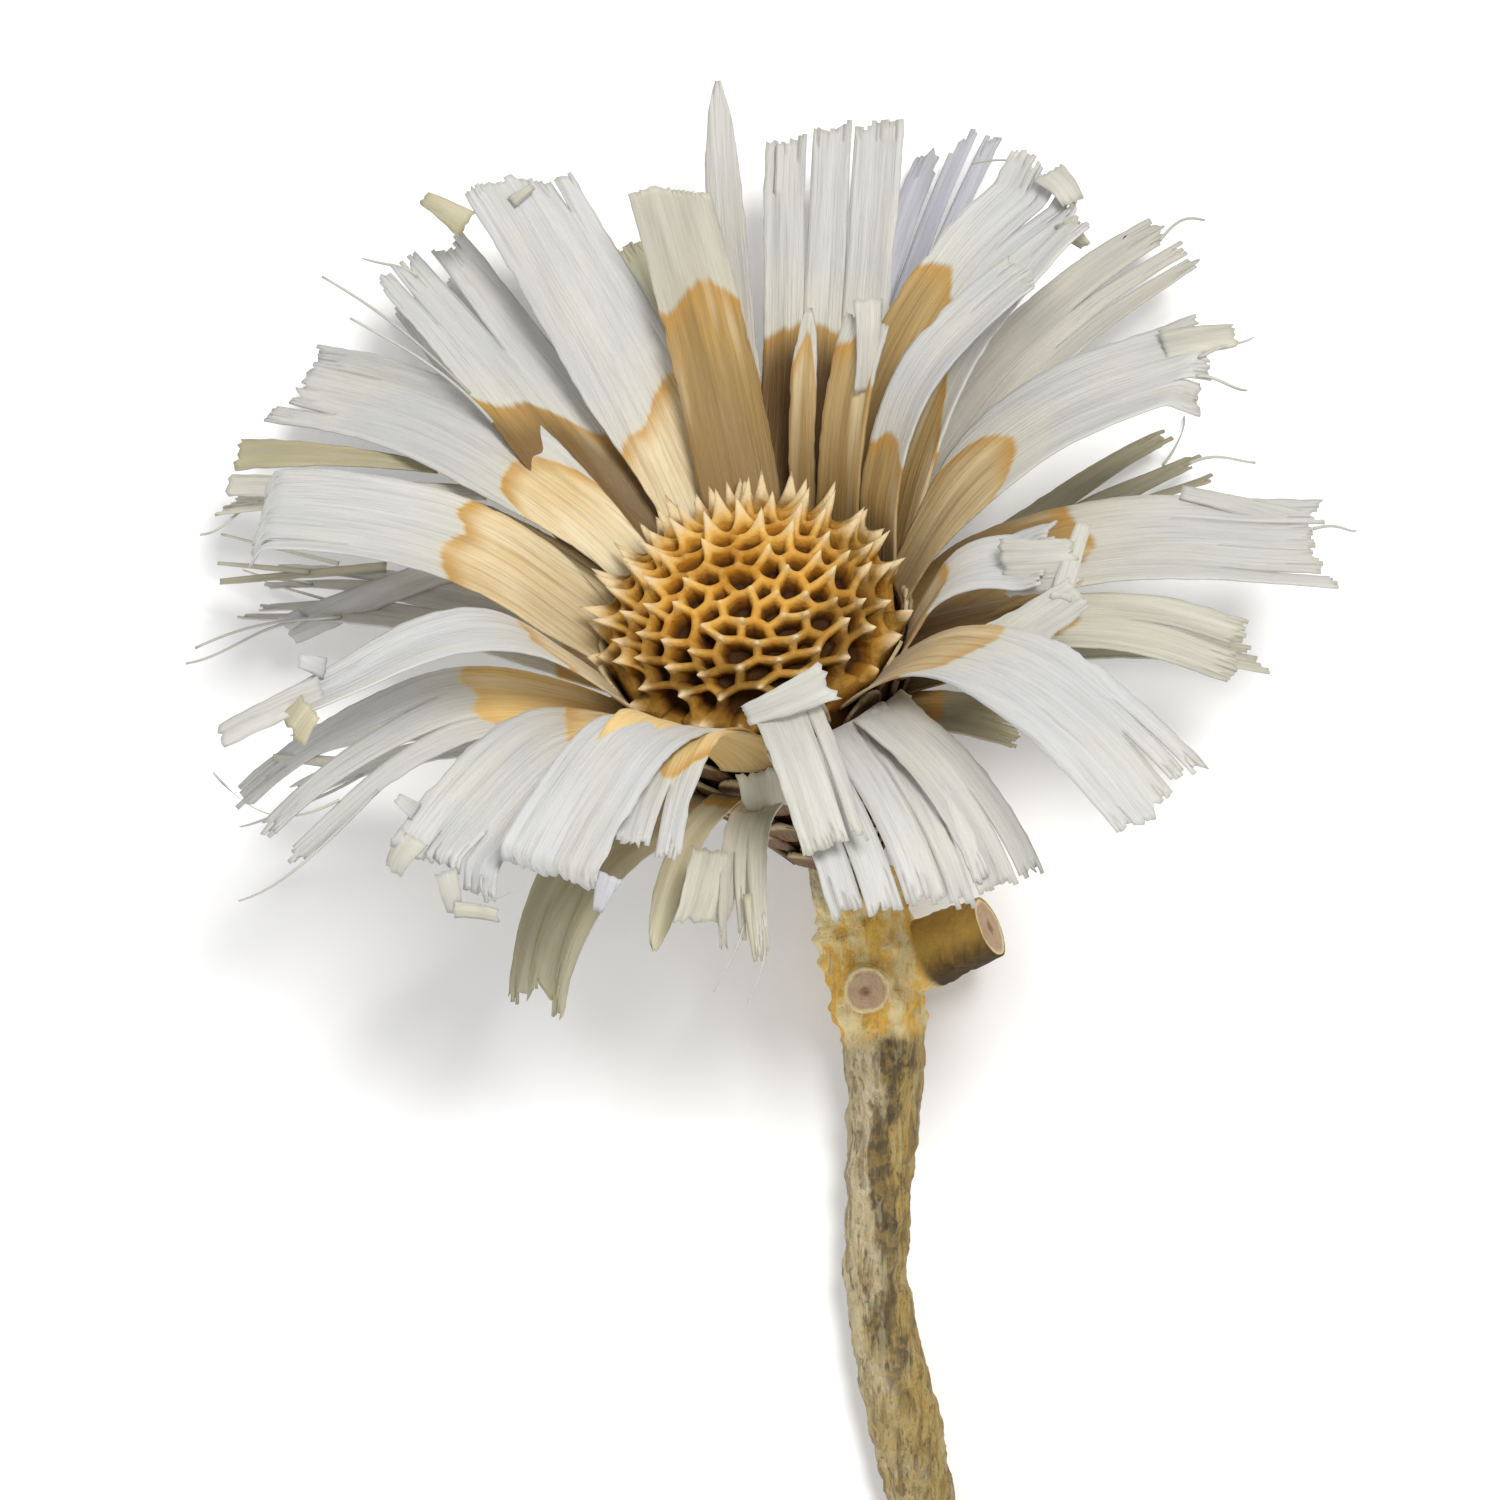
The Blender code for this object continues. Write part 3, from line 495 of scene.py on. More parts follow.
def fold_over(x, y, h, place, skew, angle):
    """Bends the part of a flat pattern beyond a slanting line towards its face."""
    slope = math.atan(skew)
    nx, ny = math.sin(slope), math.cos(slope)
    beyond = x * nx + (y - place) * ny
    if beyond <= 0.0:
        return x, y, h
    side = 1.0 if angle > 0 else -1.0
    bent = min(beyond / FOLD_RADIUS, math.radians(abs(angle)))
    straight = beyond - FOLD_RADIUS * bent
    run = (FOLD_RADIUS - h * side) * math.sin(bent) + straight * math.cos(bent)
    rise = FOLD_RADIUS - (FOLD_RADIUS - h * side) * math.cos(bent) + straight * math.sin(bent)
    return x + nx * (run - beyond), y + ny * (run - beyond), side * rise


def new_sheet_mesh():
    """An empty mesh that can hold the pattern coordinates and the wear of its vertices."""
    bm = bmesh.new()
    bm.loops.layers.uv.new("sheet")
    for name in SHEET_LAYERS:
        bm.verts.layers.float.new(name)
    return bm


def flat_grid(bm, columns, rows):
    """Adds a flat grid from -1 to 1 and returns its vertices."""
    return bmesh.ops.create_grid(bm, x_segments=columns, y_segments=rows, size=1.0)["verts"]


def finish_part(bm, verts, flat, offset, stain, tint, deep, fray):
    """Writes the pattern coordinates and wear of a part's vertices; flat maps vertex to (x, y)."""
    uv = bm.loops.layers.uv["sheet"]
    layers = [bm.verts.layers.float[n] for n in SHEET_LAYERS]
    for v in verts:
        x, y = flat[v]
        for layer, value in zip(layers, (stain(x, y), tint, deep, fray(v))):
            v[layer] = value
        for loop in v.link_loops:
            loop[uv].uv = (x / UV_UNIT + offset, y / UV_UNIT + offset * 0.37)


def column_of(place, columns):
    """Number of the grid line nearest to a place from -1 to 1."""
    return round((place + 1.0) / 2.0 * columns)


def torn_edges(verts, sheet, columns, rows):
    """Edges of the flat grid that open as slits or as the fringe of a torn end."""
    b, w = sheet.bract, sheet.wear
    half_row = 0.5 / rows
    split = set()
    for e in {e for v in verts for e in v.link_edges}:
        v0, v1 = e.verts
        if abs(v0.co.x - v1.co.x) > 1e-6 or abs(v0.co.x) > 0.9999:
            continue
        column = column_of(v0.co.x, columns)
        low = (min(v0.co.y, v1.co.y) + 1.0) / 2.0
        fringe = (0.3 + w.rag * 2.2 * chance(column, sheet.key, 2.0) ** 3) / b.length
        if b.end != "point" and low > 1.0 - fringe - half_row:
            split.add(e)
        for place, start, _ in w.slits:
            if column == column_of(place, columns) and low > start - half_row:
                split.add(e)
    return list(split)


def end_loss(own, strip, sheet, column):
    """How much shorter than the full length a bract is at one place across it."""
    b, w = sheet.bract, sheet.wear
    if b.end == "point":
        return 0.0
    waves = 0.65 * ripple(own * 2.2, sheet.key * 1.7) + 0.35 * ripple(own * 9.0, sheet.key * 4.3)
    loss = w.rag * (0.6 + waves)
    loss += (0.25 + w.rag * 0.8 * chance(column, 4.0) ** 2) * (chance(column, sheet.key) - 0.5)
    if w.slits:
        loss += w.rag * 0.9 * chance(strip, sheet.key, 7.0)
    loss += abs(w.skew) * smooth((math.copysign(1.0, w.skew) * own + 0.5) / 1.5)
    if b.end == "cut":
        loss += 0.03 * b.width * own * (1 if sheet.key % 2 else -1)
    return max(loss, 0.0)


def rim_loss(sheet, s, t, y):
    """How much narrower a bract is at its ragged, nicked long edges."""
    nick = max(ripple(y * 0.33, sheet.key * 5.9, s * 3.0) - 0.3, 0.0)
    wander = ripple(y * 0.8, sheet.key * 2.3, s)
    return abs(s) ** 6 * smooth(t / 0.35) * (0.12 + 0.12 * wander + 0.5 * nick)


def strip_spread(sheet, s, own, strip, t, half):
    """How far the strips between slits have moved across and off the bract."""
    w, key = sheet.wear, sheet.key
    across = off = 0.0
    for place, start, opening in w.slits:
        away = smooth((t - start) / max(1.0 - start, 0.05))
        across += math.copysign(opening * away * math.exp(-abs(own - place) * 1.6), own - place)
    if w.slits:
        bounds = [-1.0] + [place for place, _, _ in w.slits] + [1.0]
        free_from = min(start for _, start, _ in w.slits)
        free = smooth((t - free_from) / max(1.0 - free_from, 0.05))
        middle = (bounds[strip] + bounds[strip + 1]) / 2.0 * half
        across -= (s * half - middle) * 0.02 * w.rag * free
        across += (chance(strip, key, 9.0) - 0.5) * 0.10 * w.rag * free
        off = (chance(strip, key, 5.0) - 0.5) * (0.5 + 0.3 * w.rag) * free
    return across, off


def sheet_waves(sheet, x, y, t):
    """How far lengthwise waves and slow warping lift a bract off its smooth bend."""
    w, key = sheet.wear, sheet.key
    waves = 0.6 * math.sin(x * 1.5 + key) + 0.25 * math.sin(x * 3.1 + y * 0.07 + key * 2.0)
    return smooth(t / 0.3) * (w.wave * waves + 0.45 * ripple(x * 0.2, y * 0.09, key * 3.7))


def bract_part(bm, sheet):
    """The bract itself: torn end, slits, folds and lengthwise waves."""
    b, w, key = sheet.bract, sheet.wear, sheet.key
    columns = max(LEAST_COLUMNS, round(b.width / COLUMN_WIDTH))
    rows = max(LEAST_ROWS, round(b.length / ROW_LENGTH))
    verts = flat_grid(bm, columns, rows)
    bmesh.ops.split_edges(bm, edges=torn_edges(verts, sheet, columns, rows))
    verts = list(bm.verts)
    owner = {v: sum(f.calc_center_median().x for f in v.link_faces) / len(v.link_faces) for v in verts}
    seat = SEAT_SHIFT if key % 2 else -SEAT_SHIFT
    fray = FRAY_LENGTH / b.length
    flat = {}
    ends = {}
    for v in verts:
        s, own = v.co.x, owner[v]
        t = (v.co.y + 1.0) / 2.0
        strip = sum(own > place for place, _, _ in w.slits)
        loss = end_loss(own, strip, sheet, round((own + 1.0) * columns))
        t_cut = t * (1.0 - loss / b.length * ramp(t, 0.5, 0.5))
        y = t_cut * b.length
        half = sheet.half_width(t_cut)
        x = s * half - math.copysign(rim_loss(sheet, s, t, y), s)
        flat[v] = (x, y)
        ends[v] = smooth((t - 1.0 + fray) / fray)
        x *= 1.0 + w.fan * ramp(t, 0.3, 0.7)
        x += b.shift * smooth(t / SHIFT_DONE) + w.drift * ramp(t, 0.2, 0.8)
        across, off = strip_spread(sheet, s, own, strip, t, half)
        x += across
        h = seat * (1.0 - smooth(t / 0.4)) + off + sheet_waves(sheet, x, y, t)
        h += (0.10 + 0.06 * w.rag) * ends[v] * ripple(own * 9.0, y * 0.4, key)
        for place, skew, angle in w.folds:
            x, y, h = fold_over(x, y, h, place * b.length, skew, angle)
        v.co = sheet.lay(x, y, h)

    def stain(x, y):
        return sheet.tan_reach(x / max(sheet.half_width(min(y / b.length, 1.0)), 0.3)) - y

    finish_part(bm, verts, flat, key * 3.3, stain, w.tint, w.deep, ends.get)


def drop_to_host(bm, forward, start):
    """How far a strip moves up or down so that its root meets what is already there."""
    places = [forward @ v.co for v in bm.verts]
    gap = min((place - start).xy.length for place in places)
    top = max(place.z for place in places if (place - start).xy.length < gap + ROOT_REACH)
    return Vector((0.0, 0.0, top + ROOT_RISE - start.z))


def scrap_part(bm, sheet, scrap, part):
    """A torn strip or flap, laid out in the lying piece and carried back to the bract's frame."""
    back = head_matrix().inverted() @ lie_matrix()
    drop = drop_to_host(bm, back.inverted(), Vector(scrap.start))
    start, end = Vector(scrap.start) + drop, Vector(scrap.end) + drop
    length = (end - start).length
    columns = max(2, round(max(scrap.width0, scrap.width1) / SCRAP_COLUMN))
    rows = max(6, round(length / SCRAP_ROW))
    verts = flat_grid(bm, columns, rows)
    run = (end - start).normalized()
    level = run.cross(Vector((0, 0, 1)))
    side = (Matrix.Rotation(math.radians(scrap.tilt), 3, run) @ level).normalized()
    up = side.cross(run).normalized()
    skew = 0.35 * (chance(part, sheet.key, 8.0) - 0.5)
    flat = {}
    ends = {}
    for v in verts:
        s = v.co.x
        t = (v.co.y + 1.0) / 2.0
        column = column_of(s, columns)
        width = mix(scrap.width0, scrap.width1, t)
        loss = min(0.22 * width, 0.9) * (chance(column, part, sheet.key) - 0.2) * ramp(t, 0.5, 0.5)
        loss -= min(0.12 * width, 0.5) * chance(column, part, 3.0) * smooth((0.4 - t) / 0.4)
        x = s * width / 2.0 * (1.0 + 0.10 * ripple(t * length * 0.7, part * 3.0, s))
        y = t * length - loss + skew * x
        h = scrap.arch * 4.0 * t * (1.0 - t)
        h += 0.10 * math.sin(x * 2.2 + part) + 0.12 * ripple(x, y * 0.5, part)
        flat[v] = (x, y + PATTERN_APART)
        ends[v] = 0.4 * smooth((y - length + 1.5) / 1.5)
        v.co = back @ (start + run * y + side * x + up * h)
    stain = OFF_FOOT if scrap.gold else -OFF_FOOT
    finish_part(bm, verts, flat, part * 2.7 + sheet.key, lambda x, y: stain, scrap.tint, 0.2, ends.get)


def fibre_part(bm, sheet, fibre, part):
    """One hair-thin fibre that has come away from a bract, rooted on the nearest point of it."""
    y0 = fibre.along * sheet.bract.length
    root = sheet.lay(fibre.across, y0, 0.0)
    shift = min((v.co - root for v in bm.verts), key=lambda gap: gap.length)
    verts = flat_grid(bm, 1, FIBRE_STEPS)
    flat = {}
    for v in verts:
        t = (v.co.y + 1.0) / 2.0
        run = t * fibre.length
        heading = math.radians(fibre.heading) + math.radians(fibre.curl) * t
        x = fibre.across + run * math.sin(heading) + v.co.x * FIBRE_WIDTH * (1.0 - 0.7 * t)
        y = y0 + run * math.cos(heading)
        h = 0.2 + 1.4 * math.sin(t * 2.6 + part) * t
        flat[v] = (v.co.x * FIBRE_WIDTH, run + PATTERN_APART)
        v.co = sheet.lay(x, y, h) + shift
    finish_part(bm, verts, flat, part * 1.9, lambda x, y: -OFF_FOOT, 0.25, 0.2, lambda v: 0.3)


def bract_slot(number):
    if number <= INNER_LAST:
        return "inner_bract"
    return "middle_bract" if number <= MIDDLE_LAST else "outer_bract"


def build_bract(bract, materials, thickness):
    """One bract with its loose strips and fibres, none of it lower than the floor."""
    sheet = Sheet(bract)
    bm = new_sheet_mesh()
    bract_part(bm, sheet)
    loose = [(scrap_part, scrap) for scrap in SCRAPS if scrap.host == bract.number]
    loose += [(fibre_part, fibre) for fibre in FIBRES if fibre.host == bract.number]
    for part, (add_part, item) in enumerate(loose, start=1):
        add_part(bm, sheet, item, part)
    for face in bm.faces:
        face.normal_flip()
    bmesh.ops.transform(bm, matrix=head_matrix(), verts=bm.verts)
    for v in bm.verts:
        v.co.z = max(v.co.z, thickness)
    name = f"bract_{bract.number:02d}"
    body = thicken(add_piece("papery_" + name, bm, materials, bract_slot(bract.number), (name,)), thickness)
    body.material_offset = 1
    body.material_offset_rim = 0


# ---------------------------------------------------------------- receptacle

def away_from_apex(co):
    """Level way out from the dome's axis; near the axis one fixed way."""
    flat = Vector((co.x, co.y, 0.0))
    if flat.length < APEX_RADIUS:
        return Vector((0.6, -0.8, 0.0))
    return flat.normalized()


def dome_points():
    """Centres of the pits, spiralling out from the top of the dome."""
    golden = math.pi * (3.0 - math.sqrt(5.0))
    for i in range(PIT_COUNT):
        share = (i + 0.5) / PIT_COUNT * PIT_COVER
        reach = math.sqrt(mix(2.0 * share - share * share, share, PIT_EVENNESS))
        turn = i * golden + 0.07 * math.sin(i * 2.7)
        yield Vector((RIM_RADIUS * reach * math.cos(turn), RIM_RADIUS * reach * math.sin(turn),
                      DOME_HEIGHT * math.sqrt(1.0 - reach * reach)))


def verts_at(bm, places):
    """Vertices whose rounded places are in a set."""
    return [v for v in bm.verts if v.co.to_tuple(4) in places]


def pit_cells(bm):
    """Turns the triangles round each dome point into one many-sided cell; returns the cells."""
    everything = {v.co.to_tuple(4) for v in bm.verts}
    places = {v.co.to_tuple(4) for v in bm.verts if v.co.z > 0.0}
    around = {f for v in verts_at(bm, places) for f in v.link_faces}
    bmesh.ops.subdivide_edges(bm, edges=list({e for f in around for e in f.edges}), cuts=1,
                              use_grid_fill=True)
    old = set(verts_at(bm, everything))
    inner = [f for f in bm.faces if len(f.verts) == 3 and not old.intersection(f.verts)]
    bmesh.ops.poke(bm, faces=inner)
    pits = verts_at(bm, places)
    opposite = {e for v in pits for f in v.link_faces for e in f.edges if v not in e.verts}
    bmesh.ops.dissolve_edges(bm, edges=list(opposite), use_verts=False)
    pits = verts_at(bm, places)
    centres = [v.co.copy() for v in pits]
    bmesh.ops.dissolve_verts(bm, verts=pits)
    big = [f for f in bm.faces if len(f.verts) > 6 and f.calc_center_median().z > -1.5]
    return [min(big, key=lambda f: (f.calc_center_median() - c).length) for c in centres]


def cusp_lifts(cells):
    """How far each corner between cells stands up: tall on the outer side of every cell."""
    corners = {v for f in cells for v in f.verts if len(v.link_edges) > 2}
    tall = set()
    for face in cells:
        centre = face.calc_center_median()
        way = away_from_apex(centre)
        own = [v for v in face.verts if v in corners]
        tall.add(max(own, key=lambda v: (v.co - centre).normalized().dot(way)))
    lifts = {}
    for n, v in enumerate(sorted(corners, key=lambda v: (round(v.co.z, 3), round(v.co.x, 3)))):
        way = away_from_apex(v.co)
        radius = math.hypot(v.co.x, v.co.y)
        up = (v.normal * 0.8 + way * 0.35 + Vector((0, 0, 0.25))).normalized()
        height = CUSP_LOW + 0.25 * chance(n, 3.0)
        if v in tall:
            height = mix(CUSP_TOP, CUSP_RIM, smooth(radius / CUSP_RIM_FROM)) * (0.8 + 0.4 * chance(n, 5.0))
            height *= mix(0.6, 1.08, smooth((way.y + 1.0) / 2.0))
        side = up.cross(way) * (chance(n, 7.0) - 0.5) * 0.5
        lifts[v] = (up + side) * height
    return lifts


def raise_ridges(cells, lifts):
    """Splits the edges between corners; each ridge is low in its middle and concave towards each cusp."""
    ridges = {e for f in cells for e in f.edges if e.verts[0] in lifts and e.verts[1] in lifts}
    raised = {v: lift.copy() for v, lift in lifts.items()}
    for edge in ridges:
        first, last = edge.verts
        a, b = first.co.copy(), last.co.copy()
        before = first
        for n in range(1, RIDGE_PARTS):
            share = n / RIDGE_PARTS
            rest = next(e for e in before.link_edges if e.other_vert(before) is last)
            _, new = bmesh.utils.edge_split(rest, before, 0.5)
            new.co = a.lerp(b, share)
            raised[new] = lifts[first] * (1.0 - share) ** 2.0 + lifts[last] * share ** 2.0
            before = new
    return raised


def sink_pit(bm, face, homes, height):
    """Draws one cell inwards in steps down to its floor."""
    places = [homes[v] for v in face.verts]
    centre = sum(places, Vector()) / len(places)
    normal = face.normal.copy()
    if normal.dot(centre + Vector((0, 0, 6.0))) < 0.0:
        normal.negate()
    for sink, size in PIT_STEPS:
        above = set(face.verts)
        face = bmesh.ops.extrude_discrete_faces(bm, faces=[face])["faces"][0]
        for v, old in old_neighbours(face, above):
            homes[v] = homes[old]
            v.co = centre + (homes[v] - centre) * size - normal * sink
            v[height] = -sink / PIT_DEPTH


def build_receptacle(mat):
    """Dome of deep pits whose thin walls rise into pointed cusps, on the tapering base."""
    bm = bmesh.new()
    height = bm.verts.layers.float.new("height")
    outer = bm.verts.layers.float.new("outer")
    crease = bm.edges.layers.float.new("crease_edge")
    for point in dome_points():
        bm.verts.new(point)
    for depth, radius in BASE_RINGS:
        for k in range(BASE_SIDES):
            turn = math.tau * k / BASE_SIDES
            bm.verts.new((radius * math.cos(turn) + base_centre(depth), radius * math.sin(turn), -depth))
    bmesh.ops.convex_hull(bm, input=bm.verts)
    cells = pit_cells(bm)
    spare = {v for f in cells for v in f.verts if len(v.link_edges) == 2}
    bmesh.ops.dissolve_verts(bm, verts=list(spare))
    bm.normal_update()
    raised = raise_ridges(cells, cusp_lifts(cells))
    homes = {}
    partners = {}
    for face in cells:
        rim = set(face.verts)
        bmesh.ops.inset_individual(bm, faces=[face], thickness=WALL / 2.0, use_even_offset=True)
        for v, partner in old_neighbours(face, rim):
            homes[v] = v.co.copy()
            partners[v] = partner
    for edge in edges_within(raised):
        edge[crease] = RIDGE_CREASE
    for v, lift in raised.items():
        v.co += lift
        v[height] = lift.length / CUSP_RIM
    for v, partner in partners.items():
        lift = raised.get(partner, Vector())
        v.co = homes[v] + lift * MOUTH_LIFT
        v[height] = lift.length * 0.5 / CUSP_RIM
    for face in cells:
        sink_pit(bm, face, homes, height)
    # Painted shade: what is left of the base below the cells takes the nearly black colour of a pit's floor,
    # so that it reads as a shaded gap
    for v in bm.verts:
        if v not in raised and v not in homes:
            v[height] = -0.9
        v[outer] = ramp(math.hypot(v.co.x, v.co.y), *OUTER_ROWS)
    bmesh.ops.recalc_face_normals(bm, faces=bm.faces)
    bmesh.ops.transform(bm, matrix=head_matrix(), verts=bm.verts)
    obj = add_piece("honeycomb_receptacle", bm, [mat], "receptacle", ("receptacle",))
    soft = obj.modifiers.new("roundness", "SUBSURF")
    soft.levels = 1
    soft.render_levels = 1


def base_slope(depth):
    """Angle between the side of the base and its axis, in radians."""
    return math.atan2(base_radius(depth - 1.0) - base_radius(depth + 1.0), 2.0)


def build_base_scales(mat):
    """Small shingled scales on the tapering base, brown with a pale fringe."""
    bm = bmesh.new()
    uv = bm.loops.layers.uv.new("sheet")
    tip = bm.verts.layers.float.new("tip")
    for i in range(SCALE_COUNT):
        depth = mix(*SCALE_DEPTHS, (i / SCALE_COUNT) ** 0.85)
        turn = i * SCALE_TURN
        radius = base_radius(depth)
        length = SCALE_LENGTH + 0.8 * chance(i, 1.0)
        width = mix(*SCALE_WIDTHS, radius / RIM_RADIUS)
        lean = base_slope(depth) + math.radians(5.0 + 7.0 * chance(i, 2.0))
        for v in flat_grid(bm, 7, 6):
            s, t = v.co.x, (v.co.y + 1.0) / 2.0
            v[tip] = t
            x = s * width / 2.0 * (1.0 - 0.6 * t ** 3)
            y = t * length * (1.0 - 0.12 * s * s) + 0.5 * (chance(round(s * 3.0), i) - 0.5) * t * t
            for loop in v.link_loops:
                loop[uv].uv = (x / UV_UNIT + i * 0.7, y / UV_UNIT)
            away = radius + y * math.sin(lean) + 0.05 + 0.25 * t * t - x * x / (2.0 * radius)
            v.co = (away * math.cos(turn) - x * math.sin(turn) + base_centre(depth),
                    away * math.sin(turn) + x * math.cos(turn), -depth + y * math.cos(lean))
    bmesh.ops.recalc_face_normals(bm, faces=bm.faces)
    bmesh.ops.transform(bm, matrix=head_matrix(), verts=bm.verts)
    thicken(add_piece("base_scales", bm, [mat], "receptacle"), SCALE_THICKNESS * MM)


# ---------------------------------------------------------------- stem

def curve_point(points, i, x):
    """Point between the points i and i + 1 of a smooth curve through all the points."""
    p0 = points[max(i - 1, 0)]
    p1 = points[i]
    p2 = points[i + 1]
    p3 = points[min(i + 2, len(points) - 1)]
    return 0.5 * (2 * p1 + (p2 - p0) * x + (2 * p0 - 5 * p1 + 4 * p2 - p3) * x ** 2
                  + (3 * p1 - p0 - 3 * p2 + p3) * x ** 3)


def stem_path():
    """Smooth path of (point, radius) through the stem's stations."""
    points = [Vector((*place, radius)) for place, radius in STEM]
    path = []
    for i in range(len(points) - 1):
        steps = max(1, round((points[i + 1] - points[i]).length / STEM_STEP))
        path += [curve_point(points, i, k / steps) for k in range(steps)]
    return [(q.xyz, q.w) for q in path + points[-1:]]


def sweep(bm, stations, sides):
    """Round body through (point, radius) stations; returns its rings of vertices."""
    rings = []
    up = Vector((0, 0, 1))
    for i, (point, radius) in enumerate(stations):
        before = stations[max(i - 1, 0)][0]
        after = stations[min(i + 1, len(stations) - 1)][0]
        along = (after - before).normalized()
        side = along.cross(up).normalized()
        lift = side.cross(along).normalized()
        turn = Matrix((side, lift, -along)).transposed().to_4x4()
        rings.append(bmesh.ops.create_circle(bm, cap_ends=False, segments=sides, radius=radius,
                                             matrix=Matrix.Translation(point) @ turn)["verts"])
    for ring, following in zip(rings, rings[1:]):
        bmesh.ops.bridge_loops(bm, edges=list(edges_within(ring) | edges_within(following)))
    return rings


def cut_face(bm, ring):
    """Closes a ring with a slightly worn sawn face whose vertices carry the cut value."""
    cut = bm.verts.layers.float["cut"]
    spread = bm.verts.layers.float["spread"]
    bmesh.ops.edgeloop_fill(bm, edges=list(edges_within(ring)))
    inside = set(ring)
    face = next(f for f in bm.faces if set(f.verts) == inside)
    normal = face.normal.copy()
    middle = face.calc_center_median()
    homes = {v: v.co.copy() for v in face.verts}
    for size in SAW_RINGS:
        above = set(face.verts)
        face = bmesh.ops.extrude_discrete_faces(bm, faces=[face])["faces"][0]
        for v, old in old_neighbours(face, above):
            homes[v] = homes[old]
            v.co = middle + (homes[v] - middle) * size
            v.co += normal * 0.12 * ripple(*v.co * 1.3)
            v[cut] = 1.0 if size < SAW_EDGE else 0.55
            v[spread] = size
    for v in face.verts:
        v.co -= normal * 0.15


def bark_swell(run, turn, radius):
    """How far ridges, pits and knobs lift the bark at a place along and round the stem."""
    cx, cy = math.cos(turn), math.sin(turn)
    swell = 0.30 * max(ripple(cx * 2.6, cy * 2.6, run * 0.30 + 31.0) - 0.12, 0.0)
    for high, around, along, place in BARK_WAVES:
        swell += high * ripple(cx * around, cy * around, run * along + place)
    for place, side, rise, wide in KNOBS:
        gap = math.hypot((run - place) / wide,
                         math.remainder(turn - math.radians(side), math.tau) * radius / wide)
        swell += rise * math.exp(-gap * gap * 1.5)
    return swell


def add_stub(bm, bark, start, end, radius0, radius1):
    """A short side stub with a sawn end, whose bark takes over from the joint's."""
    joint = bm.verts.layers.float["joint"]
    across = bm.verts.layers.float["across"]
    a, b = Vector(start), Vector(end)
    count = max(8, round((b - a).length / STUB_STEP))
    path = [(a.lerp(b, k / count), mix(radius0, radius1, smooth(k / count))) for k in range(count + 1)]
    rings = sweep(bm, path, STUB_SIDES)
    for k, ((middle, _), ring) in enumerate(zip(path, rings)):
        t = k / count
        ease = 1.0 - ramp(t, 0.75, 0.25) * 0.7
        for v in ring:
            out = (v.co - middle).normalized()
            v.co += out * ease * (0.38 * ripple(*v.co * 0.55) + 0.22 * ripple(*v.co * 1.3))
            v[joint] = mix(1.0, bark, ramp(t, 0.25, 0.3))
            v[across] = out.y
    cut_face(bm, rings[-1])


def build_stem(mat):
    """Bent woody stem with bark ridges, knobs, a swollen joint and three sawn faces."""
    bm = bmesh.new()
    for name in STEM_LAYERS:
        bm.verts.layers.float.new(name)
    joint = bm.verts.layers.float["joint"]
    across = bm.verts.layers.float["across"]
    path = stem_path()
    rings = sweep(bm, path, STEM_SIDES)
    for (middle, radius), ring in zip(path, rings):
        run = middle.y
        knot = ramp(run, *KNOT_FROM) * (1.0 - ramp(run, *KNOT_TO))
        worn = ramp(run, *WORN_FROM)
        for k, v in enumerate(ring):
            out = (v.co - middle).normalized()
            swell = bark_swell(run, math.tau * k / STEM_SIDES, radius)
            for high, around, along in KNOT_WAVES:
                swell += knot * high * ripple(out.x * around, out.z * around, run * along)
            v.co += out * swell
            v[joint] = knot - worn
            v[across] = out.x
    cut_face(bm, rings[-1])
    bmesh.ops.edgeloop_fill(bm, edges=list(edges_within(rings[0])))
    add_stub(bm, SIDE_BARK, *SIDE_STUB)
    add_stub(bm, FRONT_BARK, *FRONT_STUB)
    bmesh.ops.recalc_face_normals(bm, faces=bm.faces)
    bmesh.ops.transform(bm, matrix=lie_matrix(), verts=bm.verts)
    add_piece("woody_stem", bm, [mat], "stem", ("stem",))


# ---------------------------------------------------------------- materials

class Value:
    """A node socket that takes part in plain arithmetic."""

    def __init__(self, maker, socket):
        self.maker = maker
        self.socket = socket

    def __add__(self, other):
        return self.maker.math("ADD", self, other)

    def __radd__(self, other):
        return self.maker.math("ADD", other, self)

    def __sub__(self, other):
        return self.maker.math("SUBTRACT", self, other)

    def __rsub__(self, other):
        return self.maker.math("SUBTRACT", other, self)

    def __mul__(self, other):
        return self.maker.math("MULTIPLY", self, other)

    def clamp(self):
        return self.maker.node("ShaderNodeClamp", {"Value": self})["Result"]


